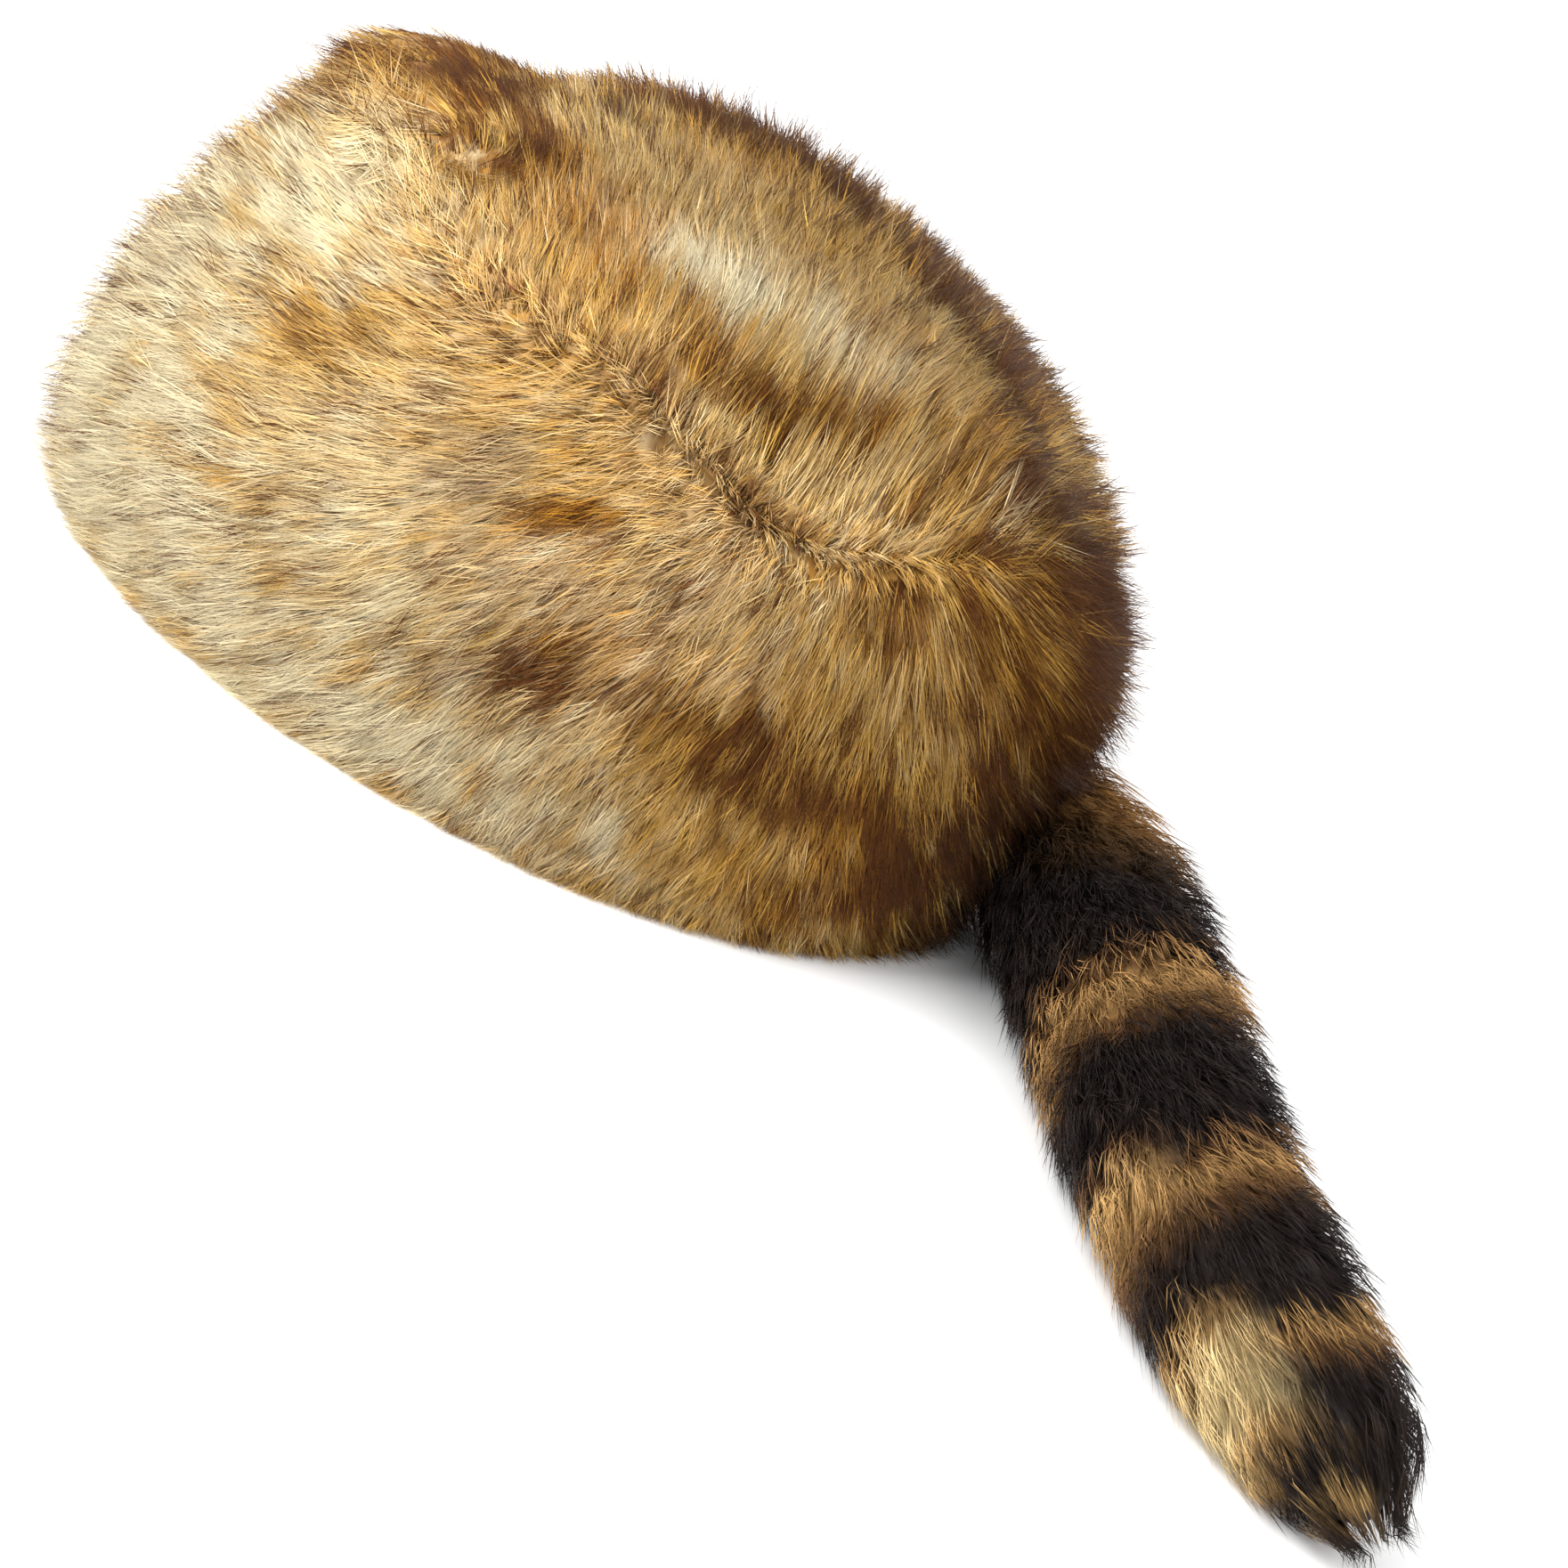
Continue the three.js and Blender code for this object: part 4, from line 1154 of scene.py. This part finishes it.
def suede_material():
    """Tanned hide: warm buff with a soft nap, from noise at two scales."""
    material, wire, shader = new_material("suede")
    put_settings(shader, {"Sheen Weight": 0.2})
    where = wire.nodes.new("ShaderNodeTexCoord")
    patches, nap = (wire.nodes.new("ShaderNodeTexNoise") for _ in range(2))
    for texture, scale, detail in ((patches, 28, 4), (nap, 900, 3)):
        put_settings(texture, {"Scale": scale, "Detail": detail})
        wire.links.new(where.outputs["Object"], texture.inputs["Vector"])
    tint = wire.nodes.new("ShaderNodeValToRGB")
    dim, bright = tint.color_ramp.elements
    dim.position, dim.color = 0.35, linear(176, 150, 116)
    bright.position, bright.color = 0.68, linear(206, 184, 150)
    bump = wire.nodes.new("ShaderNodeBump")
    put_settings(bump, {"Strength": 0.35, "Distance": 0.4 * MM})
    gloss = wire.nodes.new("ShaderNodeMapRange")
    put_settings(gloss, {"To Min": 0.75, "To Max": 0.95})
    for start, end in (
        (patches.outputs["Fac"], tint.inputs["Fac"]), (tint.outputs["Color"], shader.inputs["Base Color"]),
        (nap.outputs["Fac"], bump.inputs["Height"]), (bump.outputs["Normal"], shader.inputs["Normal"]),
        (nap.outputs["Fac"], gloss.inputs["Value"]), (gloss.outputs["Result"], shader.inputs["Roughness"]),
    ):
        wire.links.new(start, end)
    return material


HIDE_SIDES = 120
WOOL_SIDES = 240
WOOL_FROM = 0.1 * MM
WOOL_ROUGH = 0.5 * MM
band_levels, crown_levels = np.linspace(0, 0.998, 20), np.linspace(1.002, 1.98, 20)
suede = suede_material()
close_wall("band_hide", "side_band", suede, band_levels, -HIDE, 0.0, HIDE_SIDES, False)
close_wall("crown_hide", "crown_panel", suede, crown_levels, -HIDE, 0.0, HIDE_SIDES, True)


def put_coat(piece, coat, rng):
    """Gives each point of the wool its coat, with a root's full painted shade and some chance in its
    lightness.
    """
    put_numbers(piece, "coat", coat[:, :3])
    # along is 0 on the wool, so all of it takes the root's painted shade
    put_numbers(piece, "strand", np.stack([np.zeros(len(coat)), np.zeros(len(coat)), coat[:, 3]], -1))
    put_tone(piece, np.clip(0.5 + 0.3 * rng.normal(size=len(coat)), 0, 1))


def underfur_coat(piece, turn, level, sides_extra):
    """Gives a wall the coat of the fur that grows there. The last points are the middle of the crown."""
    rng = dice(71)
    t, l = turn.ravel(), level.ravel()
    coat, _ = coat_values(t, l, rng.normal(size=len(t)), rng, 0.0)
    put_coat(piece, np.concatenate([coat, np.zeros((sides_extra, 4))]), rng)


for name, node, slot, levels, to_top in (
    ("band_underfur", "side_band", "band_fur", np.linspace(0, 0.999, 30), False),
    ("crown_underfur", "crown_panel", "crown_fur", np.linspace(1.001, 1.985, 26), True),
):
    wool, t_rows, l_rows = close_wall(name, node, cap_fur, levels, WOOL_FROM, WOOL_DEPTH, WOOL_SIDES,
                                      to_top, WOOL_ROUGH, seat=not to_top)
    underfur_coat(wool, t_rows, l_rows, 2 if to_top else 0)

# %% [markdown]
# ## The tail's fur
#
# The tail's fur grows round its line and lies towards the tip. Each strand carries its distance
# along the line, with some chance in it, and the material turns that into rings. So the edges of
# the rings are ragged, as hairs of two colours make them. The near face and the right differ.

# %% Where each strand lies among the rings
TAIL_FACE = math.radians(40)
# distance along the tail; how much sooner the rings come there on the left side and on the right
SLANT_ROWS = np.array([
    (0.0, 0.0, -0.02), (0.14, 0.0, -0.05), (0.22, 0.0, -0.06), (0.3, 0.0, 0.0),
    (0.42, 0.0, 0.03), (0.65, 0.04, 0.025), (0.83, 0.015, 0.0), (1.0, 0.0, 0.0),
])
RING_RAGGED = 0.007
RING_WAVE = 0.005
# share of the left side's colours on the near face, and how fast it grows to the left
LEFT_SHARE = (0.12, 1.4)
# the last spot sits on the near face: distances along the tail where it takes over, its middle and width
LAST_SPOT_FROM = (0.915, 0.93)
LAST_SPOT = (-0.1, 0.4)


def tail_coat(run, angle, chance):
    """Place among the rings, and how much of the left side's colours. chance: a number for each."""
    share = run / TAIL_RUN
    side = np.sin(angle - TAIL_FACE)
    left_slant, right_slant = (np.interp(share, SLANT_ROWS[:, 0], SLANT_ROWS[:, k]) for k in (1, 2))
    slant = left_slant * np.clip(-side, 0, 1) + right_slant * np.clip(side, 0, 1)
    place = share + slant + RING_RAGGED * chance[0] + RING_WAVE * np.sin(3 * angle + 1.0)
    last = ease(share, *LAST_SPOT_FROM)
    left = (LEFT_SHARE[0] - LEFT_SHARE[1] * side) * (1 - last) + last * bell(side, *LAST_SPOT)
    left = np.clip(left + 0.1 * chance[1], 0, 1)
    none = np.zeros_like(left)
    return np.stack([np.clip(place, 0, 1), left, none, none], -1)


# the fur makes up for a thin tail up to this radius, by this share
FLUFF_RADIUS = 12 * MM
FLUFF = 0.45
THINNEST_GROWN = 9 * MM
COLOUR_LAG = 3 * MM
# how far strands run on past the end, where the last tufts root before it, and where it starts to close
PAST_TIP = 0.3
LAST_TUFT = 12 * MM
TAIL_END = TAIL_RUN - 7 * MM
TIP_ROUND = 22 * MM
# how much the points of a tuft draw together
TAIL_DRAWS = 0.6


def round_off(run):
    """How full the tail still is near its tip, which closes like a finger's end."""
    near = np.clip((run - TAIL_END + TIP_ROUND) / TIP_ROUND, 0, 1)
    return np.sqrt(1 - 0.9 * near**2)


def grow_tail(name, strands, per_tuft, length, rises, width, shares, seed, spread, stray, curl):
    """Tufts round the tail. rises are the shares of its radius at the root, and at the tip from and to."""
    rng = dice(seed)
    tufts = strands // per_tuft
    weight = np.maximum(fine_radius, THINNEST_GROWN) * np.gradient(fine_run)
    run = np.interp(rng.random(tufts), np.cumsum(weight) / weight.sum(), fine_run)
    run = TAIL_START + run * (TAIL_END - TAIL_START - LAST_TUFT) / TAIL_RUN
    angle = rng.random(tufts) * 2 * np.pi
    own = np.repeat(np.arange(tufts), per_tuft)
    n = len(own)
    offset = rng.normal(size=(n, 2)) * spread
    long = length * rng.uniform(0.75, 1.1, tufts)[own] * rng.uniform(0.85, 1.1, n)
    draw = 1 - TAIL_DRAWS * shares[None, :]
    slide = run[own][:, None] + long[:, None] * shares[None, :] + offset[:, :1] * draw
    past = np.maximum(slide - TAIL_END, 0)
    swing = angle[own][:, None] + offset[:, 1:] * draw / TAIL_RADIUS
    swing = swing + stray * (rng.normal(size=tufts)[own] + 0.5 * rng.normal(size=n))[:, None] * shares
    out = rng.random(tufts)[own] * 0.5 + rng.random(n) * 0.5
    tip = rises[1] + (rises[2] - rises[1]) * out
    rise = rises[0] + (tip - rises[0])[:, None] * np.sin(shares * np.pi / 2)[None, :]
    girth = np.interp(slide, fine_run, fine_radius)
    fluffed = girth + (np.maximum(girth, FLUFF_RADIUS) - girth) * FLUFF * shares
    full = rise * fluffed / girth * round_off(slide)
    lines, outward = tail_place(np.minimum(slide, TAIL_END), swing, full)
    lines = lines + past[..., None] * fine_along[-1] * PAST_TIP
    curled = rng.normal(size=(n, 1, 3)) * curl * (shares**2)[None, :, None] * long[:, None, None]
    wide = width * rng.uniform(0.7, 1.3, n)[:, None] * (1 - 0.35 * shares[None, :-1])
    chance = rng.normal(size=(2, n, 1)) * 0.6 + rng.normal(size=(2, tufts, 1))[:, own] * 0.8
    coat = tail_coat(slide - COLOUR_LAG, swing, chance)
    tone = np.clip(chance_tone(tufts, own, rng), 0, 1)
    return fur_piece(name, "tail", tail_fur_finish, lines + curled, outward, wide, shares, coat,
                     np.zeros(n), tone)


grow_tail("tail_undercoat", 24000, 6, 17 * MM, (0.66, 0.80, 0.93), 0.38 * MM, STRAIGHT,
          seed=201, spread=1.1 * MM, stray=0.09, curl=0.0)
grow_tail("tail_guard_hair", 10000, 5, 25 * MM, (0.64, 0.90, 1.12), 0.28 * MM, BENT,
          seed=211, spread=1.0 * MM, stray=0.13, curl=0.045)

# how much sooner than the fur the wool ends, and its share of the underfur's radius
CORE_SHORTER = 7 * MM
CORE_SHARE = 0.97


def tail_core():
    """The tail's dense wool: rings round the line, closed at both ends."""
    sides, steps = 48, 90
    run = np.linspace(TAIL_START, TAIL_END - CORE_SHORTER, steps)
    angle = np.arange(sides) * 2 * np.pi / sides
    r, a = np.meshgrid(run, angle, indexing="ij")
    points, _ = tail_place(r, a, TAIL_UNDERFUR / TAIL_RADIUS * CORE_SHARE * round_off(r + CORE_SHORTER))
    quads = grid_faces(steps, sides, False)
    ends, _ = tail_place(np.array([TAIL_START, TAIL_END - CORE_SHORTER + 1 * MM]), np.zeros(2), np.zeros(2))
    j = np.arange(sides)
    beside = (j + 1) % sides
    start = np.stack([j, np.full(sides, steps * sides), beside], -1)
    last = (steps - 1) * sides
    finish = np.stack([last + j, last + beside, np.full(sides, steps * sides + 1)], -1)
    points = np.concatenate([points.reshape(-1, 3), ends])
    points[:, 2] = np.maximum(points[:, 2], 0.0)
    faces = np.concatenate([split_quads(quads), start, finish])
    piece = new_piece("tail_underfur", points, faces, "tail", tail_fur_finish)
    run, angle = np.append(r.ravel(), [TAIL_START, TAIL_RUN]), np.append(a.ravel(), [0, 0])
    rng = dice(221)
    put_coat(piece, tail_coat(run, angle, rng.normal(size=(2, len(run)))), rng)


tail_core()

# %% [markdown]
# ## Floor and light
#
# A studio would use a pale sheet and two soft boxes. Here they are a pale floor that runs on past
# the view, a large lamp high on the left, a weaker one from the camera's side, and a white sky.

# %% The stage
FLOOR_HALF = 4.0


def make_floor():
    me = bpy.data.meshes.new("floor")
    corners = FLOOR_HALF * np.array([(-1, -1, 0), (1, -1, 0), (1, 1, 0), (-1, 1, 0)])
    me.from_pydata(corners.tolist(), [], [(0, 1, 2, 3)])
    floor = add_object("floor", me)
    material, _, shader = new_material("pale_floor")
    put_settings(shader, {"Base Color": (0.9, 0.9, 0.9, 1), "Roughness": 0.9})
    me.materials.append(material)


def make_lamp(name, offset, size, power):
    """A square lamp of some size in metres and power in watts, turned to the middle of the cap."""
    data = bpy.data.lights.new(name, "AREA")
    data.shape, data.size, data.energy = "SQUARE", size, power
    back = unit(np.array(offset))
    right = unit(np.cross(UP, back))
    place = HEAD_CENTRE + AIM_HEIGHT * UP + offset
    put_at(add_object(name, data), [right, np.cross(back, right), back], place)


make_floor()
make_lamp("key", (-1.3, -1.0, 1.3), 1.2, 66)
make_lamp("fill", (1.0, -1.8, 0.9), 1.6, 10)
world = bpy.data.worlds.new("sky")
bpy.context.scene.world = world
world.use_nodes = True
put_settings(world.node_tree.nodes["Background"], {"Color": (1, 1, 1, 1), "Strength": 1.3})
